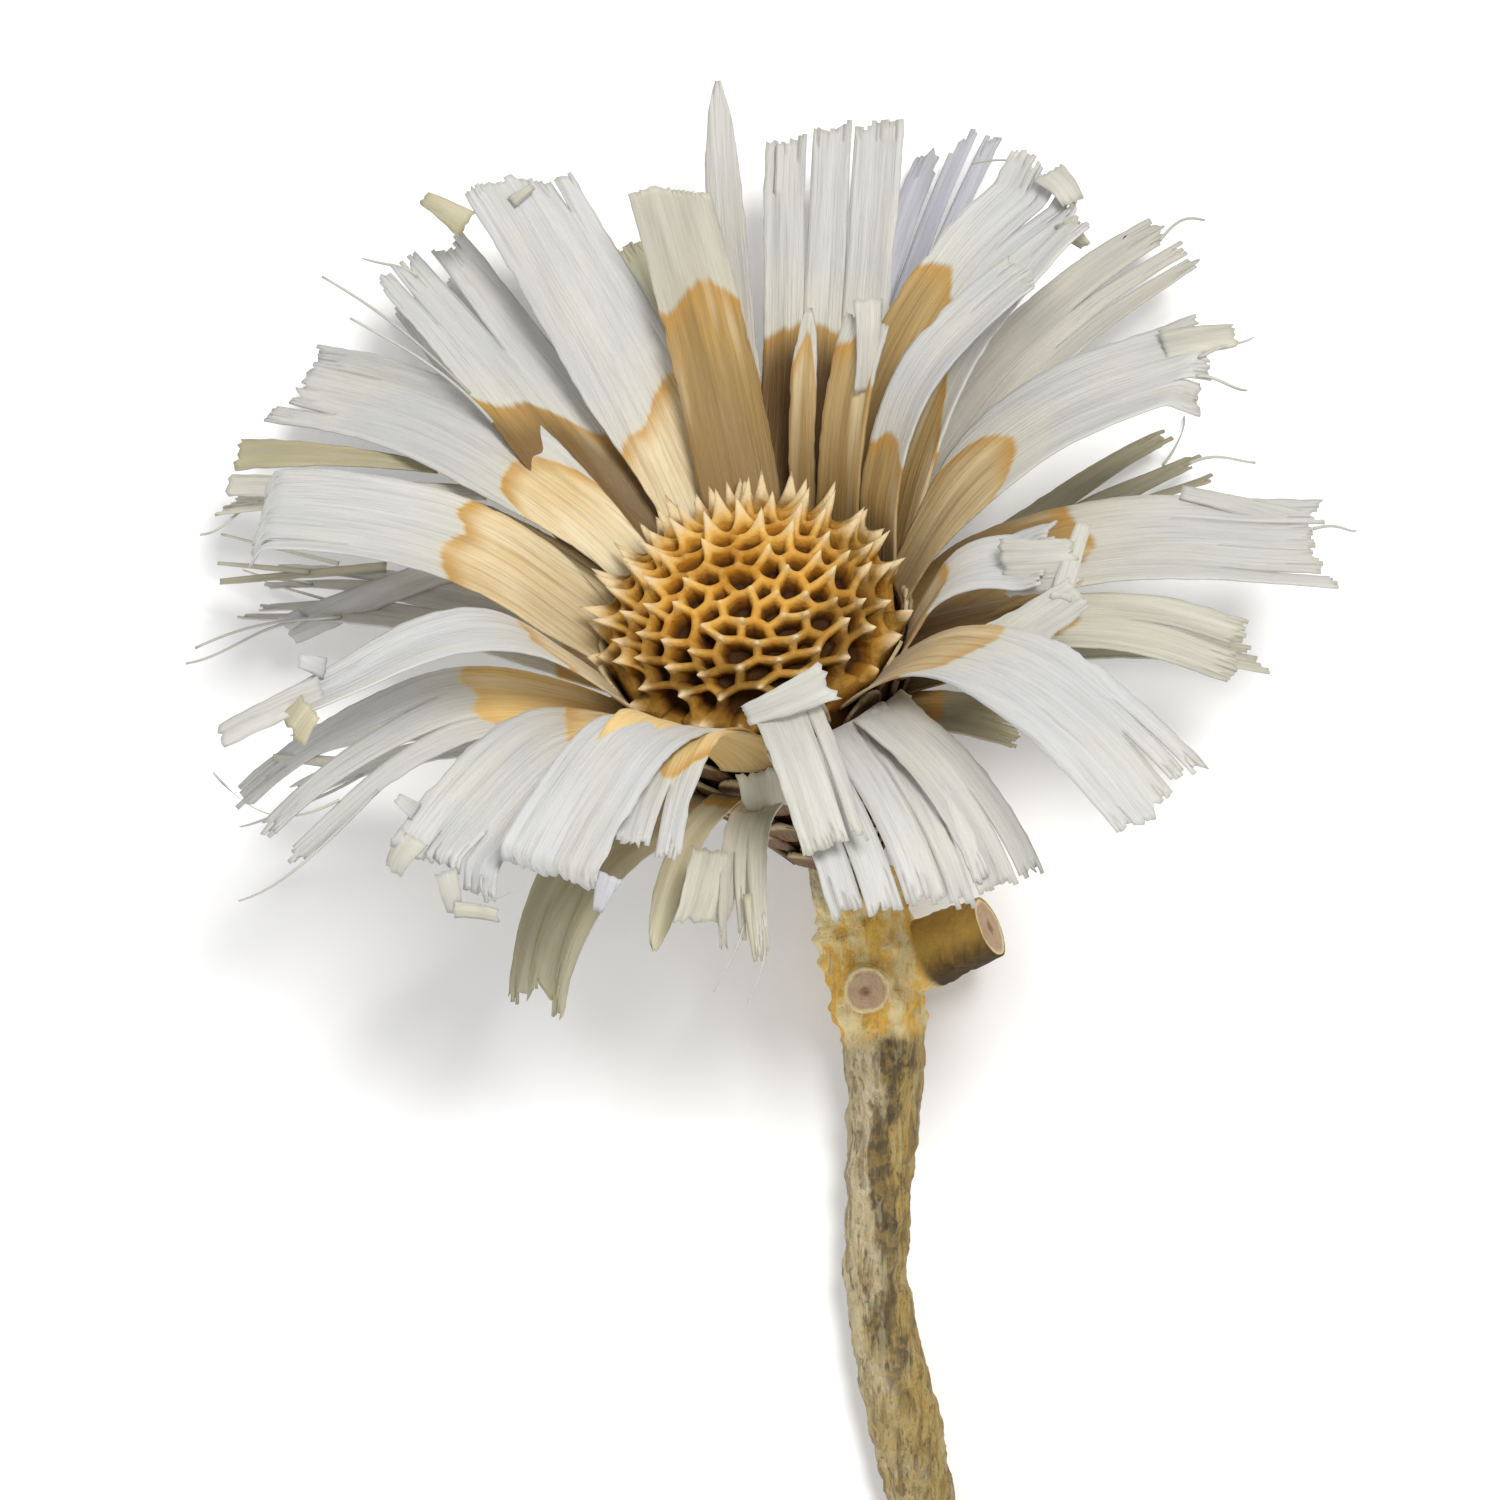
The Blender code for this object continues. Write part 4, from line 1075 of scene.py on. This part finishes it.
class Finish:
    """Builds one procedural material on a Principled shader."""

    def __init__(self, name, **constants):
        self.mat = bpy.data.materials.new(name)
        self.mat.use_nodes = True
        self.tree = self.mat.node_tree
        self.shader = self.tree.nodes["Principled BSDF"]
        for key, value in constants.items():
            self.shader.inputs[key.replace("_", " ")].default_value = value

    def plug(self, socket, value):
        if isinstance(value, Value):
            self.tree.links.new(value.socket, socket)
        elif socket.type == "RGBA":
            socket.default_value = (*value[:3], 1.0)
        else:
            socket.default_value = value

    def node(self, kind, inputs=None, **settings):
        made = self.tree.nodes.new(kind)
        for key, value in settings.items():
            setattr(made, key, value)
        for key, value in (inputs or {}).items():
            self.plug(made.inputs[key], value)
        return {socket.name: Value(self, socket) for socket in made.outputs if socket.enabled}

    def math(self, operation, *values):
        return self.node("ShaderNodeMath", dict(enumerate(values)), operation=operation)["Value"]

    def attributes(self, names):
        return [self.node("ShaderNodeAttribute", attribute_name=name)["Fac"] for name in names]

    def stretch(self, vector, *factors):
        """Coordinates times a factor along each axis."""
        return self.node("ShaderNodeVectorMath", {0: vector, 1: factors}, operation="MULTIPLY")["Vector"]

    def sheet(self, across, along):
        """Pattern coordinates of a sheet, times a factor across it and one along it."""
        return self.stretch(self.node("ShaderNodeUVMap", uv_map="sheet")["UV"], across, along, 1.0)

    def place(self, scale):
        """Object coordinates in millimetres times a scale."""
        return self.stretch(self.node("ShaderNodeTexCoord")["Object"], *[scale / MM] * 3)

    def noise(self, vector, scale=1.0, detail=2.0, roughness=0.5, distortion=0.0):
        inputs = {"Vector": vector, "Scale": scale, "Detail": detail, "Roughness": roughness}
        return self.node("ShaderNodeTexNoise", {**inputs, "Distortion": distortion})["Fac"]

    def step(self, value, low, high):
        """Eased 0 to 1 as a value goes from low to high."""
        inputs = {"Value": value, "From Min": low, "From Max": high}
        return self.node("ShaderNodeMapRange", inputs, interpolation_type="SMOOTHSTEP")["Result"]

    def blend(self, share, a, b):
        """Mix of two colours."""
        return self.node("ShaderNodeMix", {"Factor": share, 6: a, 7: b}, data_type="RGBA")["Result"]

    def over(self, base, colour, value, low, high, share=None):
        """Lays a colour over a base as a value goes from low to high, in full or up to a share."""
        mask = self.step(value, low, high)
        return self.blend(mask if share is None else mask * share, base, colour)

    def finish(self, colour, roughness, height, depth):
        """Sets the surface, with a relief of so many millimetres, and returns the material."""
        self.plug(self.shader.inputs["Base Color"], colour)
        self.plug(self.shader.inputs["Roughness"], roughness)
        relief = self.node("ShaderNodeBump", {"Height": height, "Distance": depth * MM})
        self.plug(self.shader.inputs["Normal"], relief["Normal"])
        return self.mat


def bract_material(name, tones, back):
    """Papery bract: silvery white with fine fibres, over a tan foot with a golden edge."""
    f = Finish(name, Specular_IOR_Level=0.45, Sheen_Weight=0.08, Sheen_Roughness=0.4)
    stain, tint, deep, fray = f.attributes(SHEET_LAYERS)
    shade = 0.3 if back else 0.0
    hair = f.noise(f.sheet(36.0, 1.1), detail=4.0, roughness=0.7)
    fibre = f.noise(f.sheet(16.0, 0.5), detail=3.0, roughness=0.65)
    streak = f.noise(f.sheet(7.0, 0.5), detail=3.0)
    pale_streak = f.noise(f.sheet(4.5, 0.35))
    cloud = f.noise(f.sheet(1.7, 0.9), detail=3.0)
    edge = stain + (f.noise(f.sheet(2.6, 0.9)) - 0.5) * 1.7 + (hair - 0.5) * 0.9 + (fibre - 0.5)

    # Bleached outer part, silvery, straw coloured or lilac grey; the straw and lilac tints are partly
    # painted shade, and dark olive is painted shade on bracts behind the others
    white = f.over(tones.paper_white, tones.paper_grey, streak, 0.35, 0.7, 0.6)
    white = f.over(white, tones.paper_cream, cloud, 0.45, 0.72, 0.5)
    white = f.over(white, tones.paper_cream, edge, -7.0, -0.3, 0.6)
    straw = f.over(tones.straw, tones.olive, streak, 0.3, 0.7)
    # Straw tint, partly painted shade on bracts that lie in shade
    white = f.blend((tint + shade).clamp(), white, straw)
    # Painted shade: dark olive on bracts that lie in shade behind the others, for tints above 1
    white = f.blend((tint - 1.0).clamp(), white, tones.olive_painted_shade)
    # Lilac grey, partly the bluish grey of shade painted on
    lilac = f.over(tones.lilac_dark, tones.lilac, streak, 0.3, 0.7)
    white = f.blend((tint * -1.6).clamp(), white, lilac)

    # Foot, from pale gold to deep brown, with its golden edge; the deeper browns of feet that lie in shade
    # are partly painted shade
    gold = f.over(tones.foot_cream, tones.foot_gold, cloud, 0.35, 0.7, 0.75)
    gold = f.over(gold, tones.foot_gold, streak, 0.40, 0.70, 0.45)
    gold = f.blend((deep * -1.0).clamp(), gold, tones.foot_gilt)
    dark = f.over(tones.foot_tan, tones.foot_khaki, cloud, 0.35, 0.7)
    dark = f.over(dark, tones.foot_brown, streak, 0.44, 0.70, 0.5)
    # Partly painted shade: the deeper the tan, the darker the foot
    foot = f.blend((deep + shade).clamp(), gold, dark)
    foot = f.over(foot, tones.foot_brown, fibre, 0.48, 0.64, (deep * 0.30 + 0.12).clamp())
    foot = f.over(foot, tones.foot_cream, pale_streak, 0.52, 0.66, 0.45)
    tan = f.step(edge, -0.45, 0.35)
    rim = tan * (1.0 - f.step(edge, 0.0, 2.8)) * (f.step(cloud, 0.35, 0.65) * 0.8 + 0.35)
    foot = f.blend(rim.clamp() * 0.85, foot, tones.foot_edge)
    # Painted shade: the foot darkens towards the dome, more on the deeper tans
    foot = f.blend((f.step(stain, 3.5, 15.0) * (deep + 0.12).clamp() * 0.75).clamp(), foot, tones.foot_brown)
    # Painted shade: feet down between the other bracts go nearly black where the depth of the tan is above 1
    foot = f.blend(((deep - 1.0) * f.step(stain, -1.0, 4.0)).clamp(), foot, tones.foot_painted_shade)

    skin = f.blend(tan, white, foot)
    skin = f.blend(fray * f.step(hair, 0.4, 0.7) * 0.45, skin, tones.straw)
    line = f.blend(tan, tones.rib, tones.foot_brown)
    skin = f.blend(f.step(hair, 0.46, 0.68) * 0.28 + f.step(fibre, 0.5, 0.66) * 0.2, skin, line)
    relief = hair * 0.8 + fibre * 1.2 + streak * 0.5 + cloud * 0.5
    return f.finish(skin, 0.60 - hair * 0.2 + tan * 0.05, relief, 0.14)


def receptacle_material(tones):
    """Waxy amber honeycomb with pale cusp tips, pits that darken to painted shade at their floors, and outer
    rows browned as painted shade.
    """
    f = Finish("amber_honeycomb", Specular_IOR_Level=0.16, Subsurface_Weight=0.10, Subsurface_Scale=0.0010)
    f.shader.inputs["Subsurface Radius"].default_value = (1.0, 0.45, 0.15)
    height, outer = f.attributes(("height", "outer"))
    grain = f.noise(f.place(1.6), detail=4.0, roughness=0.6)
    blotch = f.noise(f.place(0.25), detail=3.0)
    high = height + (grain - 0.5) * 0.22
    wall = f.over(tones.comb_amber, tones.comb_honey, blotch, 0.35, 0.65)
    wall = f.over(wall, tones.comb_pale, high, -0.02, 0.26, 0.8)
    # Painted shade: the outer rows browner in patches, where the dome curves away and the bracts shade it
    outer_rows_shade = outer * (f.step(blotch, 0.42, 0.58) * 0.65 + 0.35)
    wall = f.blend((outer_rows_shade * 1.2).clamp(), wall, tones.comb_shade_brown)
    wall = f.over(wall, tones.comb_tip, high, 0.16, 0.64)
    # Pit walls brown, darkening with depth to a nearly black floor: partly the comb's own brown, partly
    # painted shade
    pit = f.over(tones.pit_floor_shade, tones.pit_brown, height, -0.85, -0.30)
    wall = f.over(pit, wall, high, -0.38, -0.04)
    relief = grain + f.noise(f.place(5.0), detail=3.0) * 0.4
    return f.finish(wall, 0.80 - grain * 0.2, relief, 0.16)


def scale_material(tones):
    """Brown fibrous scale with a pale fringe."""
    f = Finish("base_scale", Specular_IOR_Level=0.35)
    tip, = f.attributes(("tip",))
    hair = f.noise(f.sheet(90.0, 4.0), detail=3.0)
    body = f.over(tones.scale_brown, tones.scale_dark, hair, 0.3, 0.7)
    skin = f.over(body, tones.scale_fringe, tip + (hair - 0.5) * 0.35, 0.62, 0.92)
    return f.finish(skin, 0.78 - hair * 0.15, hair, 0.2)


def stem_material(tones):
    """Dry bark: pale flanks, partly painted light, and a dark front of painted shade, a golden gnarled joint
    and pinkish sawn wood.
    """
    f = Finish("dry_bark", Specular_IOR_Level=0.35)
    cut, spread, joint, across = f.attributes(STEM_LAYERS)
    coords = f.place(1.0)
    run = f.stretch(coords, 1.0, 0.28, 1.0)
    groove = f.noise(f.stretch(coords, 1.0, 0.10, 1.0), 1.1, 3.0, 0.55, 0.3)
    patch = f.noise(coords, 0.22, 5.0, 0.65)
    cloud = f.noise(run, 0.45, 4.0, 0.6)
    vein = f.noise(run, 0.95, 6.0, 0.68, 0.5)
    ridge = f.noise(run, 2.4, 5.0, 0.7)
    crumb = f.noise(coords, 0.7, 7.0, 0.68)

    # Pale flanks, laid in clouds and paler on one side as painted light
    side = across * 0.7 + (cloud - 0.5) * 3.0
    pale = f.over(tones.bark_gold, tones.flank_pale_and_lit, side, -0.5, 0.35)
    pale = f.over(pale, tones.bark_straw, crumb, 0.38, 0.56, 0.45)
    pale = f.over(pale, tones.bark_olive, vein, 0.50, 0.66, 0.55)

    # Painted shade down the middle of the stem's front, fainter towards the worn end, which is mottled
    middle = f.math("ABSOLUTE", across + 0.14 + (cloud - 0.5) * 2.2 + (vein - 0.5) * 0.9)
    low = f.step(joint * -1.0, 0.0, 0.8)
    centre = (1.0 - f.step(middle, 0.16, 0.52)) * (1.0 - low * 0.6)
    dark = f.over(tones.bark_grey_and_shade, tones.bark_cracks_and_shade, ridge, 0.40, 0.62)
    dark = f.over(dark, tones.bark_gold, crumb, 0.44, 0.60, 0.55)
    bark = f.blend(centre * 0.92, pale, dark)
    mottle = f.over(tones.bark_gold, tones.bark_straw, crumb, 0.42, 0.58)
    mottle = f.over(mottle, tones.bark_olive, vein, 0.50, 0.62, 0.65)
    spots = f.step(patch + (crumb - 0.5) * 0.6, 0.34, 0.52)
    bark = f.blend(low * spots * 0.8, bark, mottle)

    # Cracks and grooves darkened, partly as painted shade, and the raised bark between the grooves paler,
    # partly as a painted highlight
    bark = f.over(bark, tones.bark_cracks_and_shade, ridge, 0.52, 0.64, 0.55)
    bark = f.over(bark, tones.bark_olive, crumb, 0.58, 0.66, 0.35)
    # Painted shade in the grooves
    bark = f.over(bark, tones.bark_grey_and_shade, groove, 0.53, 0.62, 0.5)
    # Paler raised bark between the grooves, partly a painted highlight
    bark = f.blend((1.0 - f.step(groove, 0.36, 0.45)) * 0.45, bark, tones.bark_pale)

    # Resinous joint, and the side stub with painted shade on its underside
    knot = f.over(tones.knot_cream, tones.knot_gold, cloud + (crumb - 0.5) * 0.5, 0.40, 0.58)
    knot = f.over(knot, tones.knot_rust, vein, 0.52, 0.66, 0.45)
    knot = f.over(knot, tones.knot_rust, crumb, 0.58, 0.66, 0.35)
    bark = f.over(bark, knot, joint + (patch - 0.5) + (vein - 0.5) * 0.8, 0.15, 0.75)
    # Painted shade: the stub darkens towards its underside
    stub = f.over(tones.stub_gold, tones.stub_underside_shade, across + (vein - 0.5) * 0.9, -0.1, 0.9)
    bark = f.over(bark, stub, joint, 1.3, 1.7)

    # Sawn wood with faint rings round its pith
    rings = f.math("SINE", spread * 40.0 + crumb * 9.0)
    wood = f.over(tones.wood_pink, tones.wood_tan, crumb, 0.35, 0.62)
    wood = f.over(wood, tones.wood_pith, rings, 0.0, 1.0, 0.12)
    wood = f.blend((1.0 - f.step(spread + (crumb - 0.5) * 0.9, 0.08, 0.30)) * 0.7, wood, tones.wood_pith)
    wood = f.over(wood, tones.knot_cream, spread + (crumb - 0.5) * 0.4, 0.74, 0.92)
    skin = f.over(bark, wood, cut + (crumb - 0.5) * 0.3, 0.45, 0.75)
    relief = vein * 1.4 + ridge + crumb * 1.4 - groove * 1.6
    return f.finish(skin, 0.85 - ridge * 0.15, relief, 0.40)


def floor_material(colour):
    """Matt floor of nearly one tone."""
    f = Finish("studio_floor", Specular_IOR_Level=0.1)
    cloud = f.noise(f.place(0.004))
    shade = tuple(c * 0.985 for c in colour)
    f.plug(f.shader.inputs["Base Color"], f.over(tuple(colour), shade, cloud, 0.3, 0.7))
    f.plug(f.shader.inputs["Roughness"], 0.9 - cloud * 0.05)
    return f.mat


# ---------------------------------------------------------------- settings

def tone(name, description, default):
    return FloatVectorProperty(name=name, description=description, default=default, subtype="COLOR",
                               min=0.0, max=1.0, size=3)


class ProteaTones(bpy.types.PropertyGroup):
    paper_white: tone("Silvery white", "Bleached outer part of the bracts", (0.52, 0.52, 0.515))
    paper_grey: tone("Silvery grey", "Streaks in the bleached part", (0.42, 0.425, 0.43))
    paper_cream: tone("Cream", "Warm clouds in the bleached part", (0.56, 0.54, 0.45))
    rib: tone("Ribs", "Fine ribs of the bracts", (0.27, 0.26, 0.23))
    straw: tone("Straw", "Less bleached bracts", (0.50, 0.46, 0.31))
    olive: tone("Olive", "Streaks in the less bleached bracts", (0.33, 0.29, 0.17))
    # Painted shade for bracts behind the others
    olive_painted_shade: tone("Dark olive", "Shaded bracts behind the others", (0.16, 0.135, 0.07))
    lilac: tone("Lilac grey", "Greyish bracts", (0.46, 0.46, 0.52))
    lilac_dark: tone("Dark lilac grey", "Streaks in the greyish bracts", (0.30, 0.30, 0.37))
    foot_cream: tone("Pale foot", "Light inner part of the bracts", (0.76, 0.66, 0.44))
    foot_gold: tone("Golden foot", "Streaks in the light inner part", (0.62, 0.44, 0.19))
    foot_gilt: tone("Gilt foot", "Golden yellow inner part of a few bracts", (0.70, 0.45, 0.12))
    foot_tan: tone("Tan foot", "Shaded inner part of the bracts", (0.41, 0.255, 0.075))
    foot_khaki: tone("Khaki foot", "Greyer clouds in the shaded inner part", (0.36, 0.25, 0.095))
    foot_brown: tone("Brown foot", "Streaks in the shaded inner part", (0.21, 0.125, 0.035))
    # Painted shade for feet down between the other bracts
    foot_painted_shade: tone("Deep foot", "Foot of the bracts down between the others", (0.11, 0.052, 0.004))
    foot_edge: tone("Foot edge", "Golden edge of the inner part", (0.46, 0.235, 0.035))
    comb_amber: tone("Amber wall", "Deeper walls of the honeycomb", (0.34, 0.135, 0.006))
    comb_honey: tone("Honey wall", "Lighter walls of the honeycomb", (0.52, 0.255, 0.035))
    comb_pale: tone("Pale rim", "Rims of the pits", (0.72, 0.45, 0.12))
    # Painted shade on the outer rows
    comb_shade_brown: tone("Brown wall", "Weathered outer rows of the honeycomb", (0.24, 0.125, 0.02))
    comb_tip: tone("Cusp tip", "Tips of the cusps", (0.68, 0.53, 0.31))
    # Painted shade at the floor of the pits
    pit_floor_shade: tone("Pit floor", "Bottom of the pits", (0.050, 0.018, 0.003))
    pit_brown: tone("Pit wall", "Walls down in the pits", (0.21, 0.080, 0.010))
    scale_brown: tone("Scale brown", "Small scales of the base", (0.22, 0.13, 0.06))
    scale_dark: tone("Scale dark", "Streaks in the small scales", (0.09, 0.045, 0.02))
    scale_fringe: tone("Scale fringe", "Pale fringe of the small scales", (0.46, 0.36, 0.20))
    bark_gold: tone("Golden bark", "Golden streaks of the bark", (0.38, 0.25, 0.07))
    bark_olive: tone("Olive bark", "Olive brown of the bark", (0.15, 0.105, 0.035))
    bark_straw: tone("Straw bark", "Yellow specks of the bark", (0.45, 0.34, 0.13))
    # Pale flanks, partly painted light on one side
    flank_pale_and_lit: tone("Bark flank", "Pale flanks of the stem", (0.62, 0.53, 0.35))
    # Grey brown used as painted shade down the stem's front and in its grooves
    bark_grey_and_shade: tone("Brown bark", "Weathered grey brown bark", (0.105, 0.078, 0.04))
    # Dark cracks, and painted shade down the stem's front and on the bark's relief
    bark_cracks_and_shade: tone("Dark bark", "Cracks in the bark", (0.055, 0.038, 0.017))
    # Paler raised bark between the grooves, partly a painted highlight
    bark_pale: tone("Pale bark", "Rubbed spots on the bark", (0.50, 0.42, 0.24))
    knot_gold: tone("Golden joint", "Resinous wood at the joint", (0.92, 0.56, 0.11))
    knot_cream: tone("Cream joint", "Pale fibres at the joint", (0.98, 0.80, 0.42))
    knot_rust: tone("Rusty joint", "Dark creases at the joint", (0.50, 0.25, 0.045))
    stub_gold: tone("Stub", "Resinous bark of the side stub", (0.56, 0.33, 0.065))
    # Painted shade on the stub's underside
    stub_underside_shade: tone("Stub underside", "Dark side of the side stub", (0.08, 0.045, 0.013))
    wood_pink: tone("Sawn wood", "Cut faces", (0.64, 0.41, 0.25))
    wood_tan: tone("Pale sawn wood", "Paler wood in the cut faces", (0.68, 0.49, 0.31))
    wood_pith: tone("Pith", "Middle of the cut faces", (0.30, 0.17, 0.09))


class ProteaSizes(bpy.types.PropertyGroup):
    paper: FloatProperty(name="Bract thickness", description="Thickness of the papery bracts",
                         default=0.22 * MM, min=0.05 * MM, max=0.5 * MM, unit="LENGTH")


class ProteaStage(bpy.types.PropertyGroup):
    floor: tone("Floor", "Colour of the floor", (0.95, 0.95, 0.95))
    key_power: FloatProperty(name="Key light", description="Power of the key light in watts",
                             default=5.4, min=0.0, unit="POWER")
    fill_power: FloatProperty(name="Fill light", description="Power of the fill light in watts",
                              default=1.8, min=0.0, unit="POWER")
    sky: FloatProperty(name="Sky", description="Strength of the surrounding light", default=0.62, min=0.0)
    distance: FloatProperty(name="Camera distance", description="From the dome to the camera",
                            default=0.6, min=0.1, unit="LENGTH")
    view_width: FloatProperty(name="View width", description="Width of the view at the dome",
                              default=0.125, min=0.01, unit="LENGTH")


# ---------------------------------------------------------------- operators

class PROTEA_OT_bracts(bpy.types.Operator):
    """Build every papery bract with its torn end, slits, scraps and fibres"""
    bl_idname = "protea.bracts"
    bl_label = "Bracts"

    def execute(self, context):
        tones = context.scene.protea_tones
        face = bract_material("papery_face", tones, False)
        back = bract_material("papery_back", tones, True)
        for bract in BRACTS:
            build_bract(bract, (face, back), context.scene.protea_sizes.paper)
        return {"FINISHED"}


class PROTEA_OT_receptacle(bpy.types.Operator):
    """Build the honeycomb dome, its tapering base and the base's small scales"""
    bl_idname = "protea.receptacle"
    bl_label = "Receptacle"

    def execute(self, context):
        tones = context.scene.protea_tones
        build_receptacle(receptacle_material(tones))
        build_base_scales(scale_material(tones))
        return {"FINISHED"}


class PROTEA_OT_stem(bpy.types.Operator):
    """Build the woody stem with its joint and sawn stubs"""
    bl_idname = "protea.stem"
    bl_label = "Stem"

    def execute(self, context):
        build_stem(stem_material(context.scene.protea_tones))
        return {"FINISHED"}


def add_floor(context, colour):
    """A wide level floor."""
    bm = bmesh.new()
    bmesh.ops.create_grid(bm, x_segments=8, y_segments=8, size=FLOOR_SIZE)
    mesh = bpy.data.meshes.new("floor")
    bm.to_mesh(mesh)
    bm.free()
    mesh.materials.append(floor_material(colour))
    floor = bpy.data.objects.new("floor", mesh)
    context.scene.collection.objects.link(floor)


def add_sky(context, strength):
    """Even white light from all round."""
    world = bpy.data.worlds.new("studio")
    world.use_nodes = True
    sky = world.node_tree.nodes["Background"]
    sky.inputs["Color"].default_value = (1.0, 1.0, 1.0, 1.0)
    sky.inputs["Strength"].default_value = strength
    context.scene.world = world


def add_light(context, power, name, offset, size, colour):
    """A round lamp that shines on the dome."""
    data = bpy.data.lights.new(name, "AREA")
    data.shape = "DISK"
    data.size = size
    data.energy = power
    data.color = colour
    lamp = bpy.data.objects.new(name, data)
    context.scene.collection.objects.link(lamp)
    lamp.location = DOME_FOOT * MM + Vector(offset)
    lamp.rotation_euler = (-Vector(offset)).to_track_quat("-Z", "Y").to_euler()


def add_camera(context, distance, view_width):
    """A camera straight above the lying piece, with the stem towards the bottom of the view."""
    data = bpy.data.cameras.new("camera")
    data.sensor_width = SENSOR_WIDTH
    data.lens = SENSOR_WIDTH * distance / view_width
    data.clip_start, data.clip_end = CLIP
    camera = bpy.data.objects.new("camera", data)
    context.scene.collection.objects.link(camera)
    rest = lie_matrix().to_3x3().normalized().to_4x4()
    step_back = Matrix.Translation(Vector((*CAMERA_SHIFT, distance)))
    half_turn = Matrix.Rotation(math.pi, 4, "Z")
    camera.matrix_world = Matrix.Translation(DOME_FOOT * MM) @ rest @ step_back @ half_turn
    context.scene.camera = camera


class PROTEA_OT_stage(bpy.types.Operator):
    """Set up the pale floor, the soft lights and the camera"""
    bl_idname = "protea.stage"
    bl_label = "Stage"

    def execute(self, context):
        stage = context.scene.protea_stage
        add_floor(context, stage.floor)
        add_sky(context, stage.sky)
        for power, light in zip((stage.key_power, stage.fill_power), LIGHTS):
            add_light(context, power, *light)
        add_camera(context, stage.distance, stage.view_width)
        context.scene.view_settings.view_transform = "Standard"
        return {"FINISHED"}


class PROTEA_PT_panel(bpy.types.Panel):
    bl_label = "Protea"
    bl_idname = "PROTEA_PT_panel"
    bl_space_type = "VIEW_3D"
    bl_region_type = "UI"
    bl_category = "Protea"

    def draw(self, context):
        for group in (context.scene.protea_sizes, context.scene.protea_tones, context.scene.protea_stage):
            box = self.layout.box()
            for key in group.__annotations__:
                box.prop(group, key)
        for operator in OPERATORS:
            self.layout.operator(operator.bl_idname)


GROUPS = {"protea_sizes": ProteaSizes, "protea_tones": ProteaTones, "protea_stage": ProteaStage}
OPERATORS = (PROTEA_OT_bracts, PROTEA_OT_receptacle, PROTEA_OT_stem, PROTEA_OT_stage)


def register():
    for cls in (*GROUPS.values(), *OPERATORS, PROTEA_PT_panel):
        bpy.utils.register_class(cls)
    for key, group in GROUPS.items():
        setattr(bpy.types.Scene, key, PointerProperty(type=group))


def unregister():
    for key in GROUPS:
        delattr(bpy.types.Scene, key)
    for cls in (PROTEA_PT_panel, *reversed(OPERATORS), *reversed(GROUPS.values())):
        bpy.utils.unregister_class(cls)


def main():
    register()
    protea = bpy.ops.protea
    for step in (protea.bracts, protea.receptacle, protea.stem, protea.stage):
        if step() != {"FINISHED"}:
            raise RuntimeError("a building step did not finish")


if __name__ == "__main__":
    main()
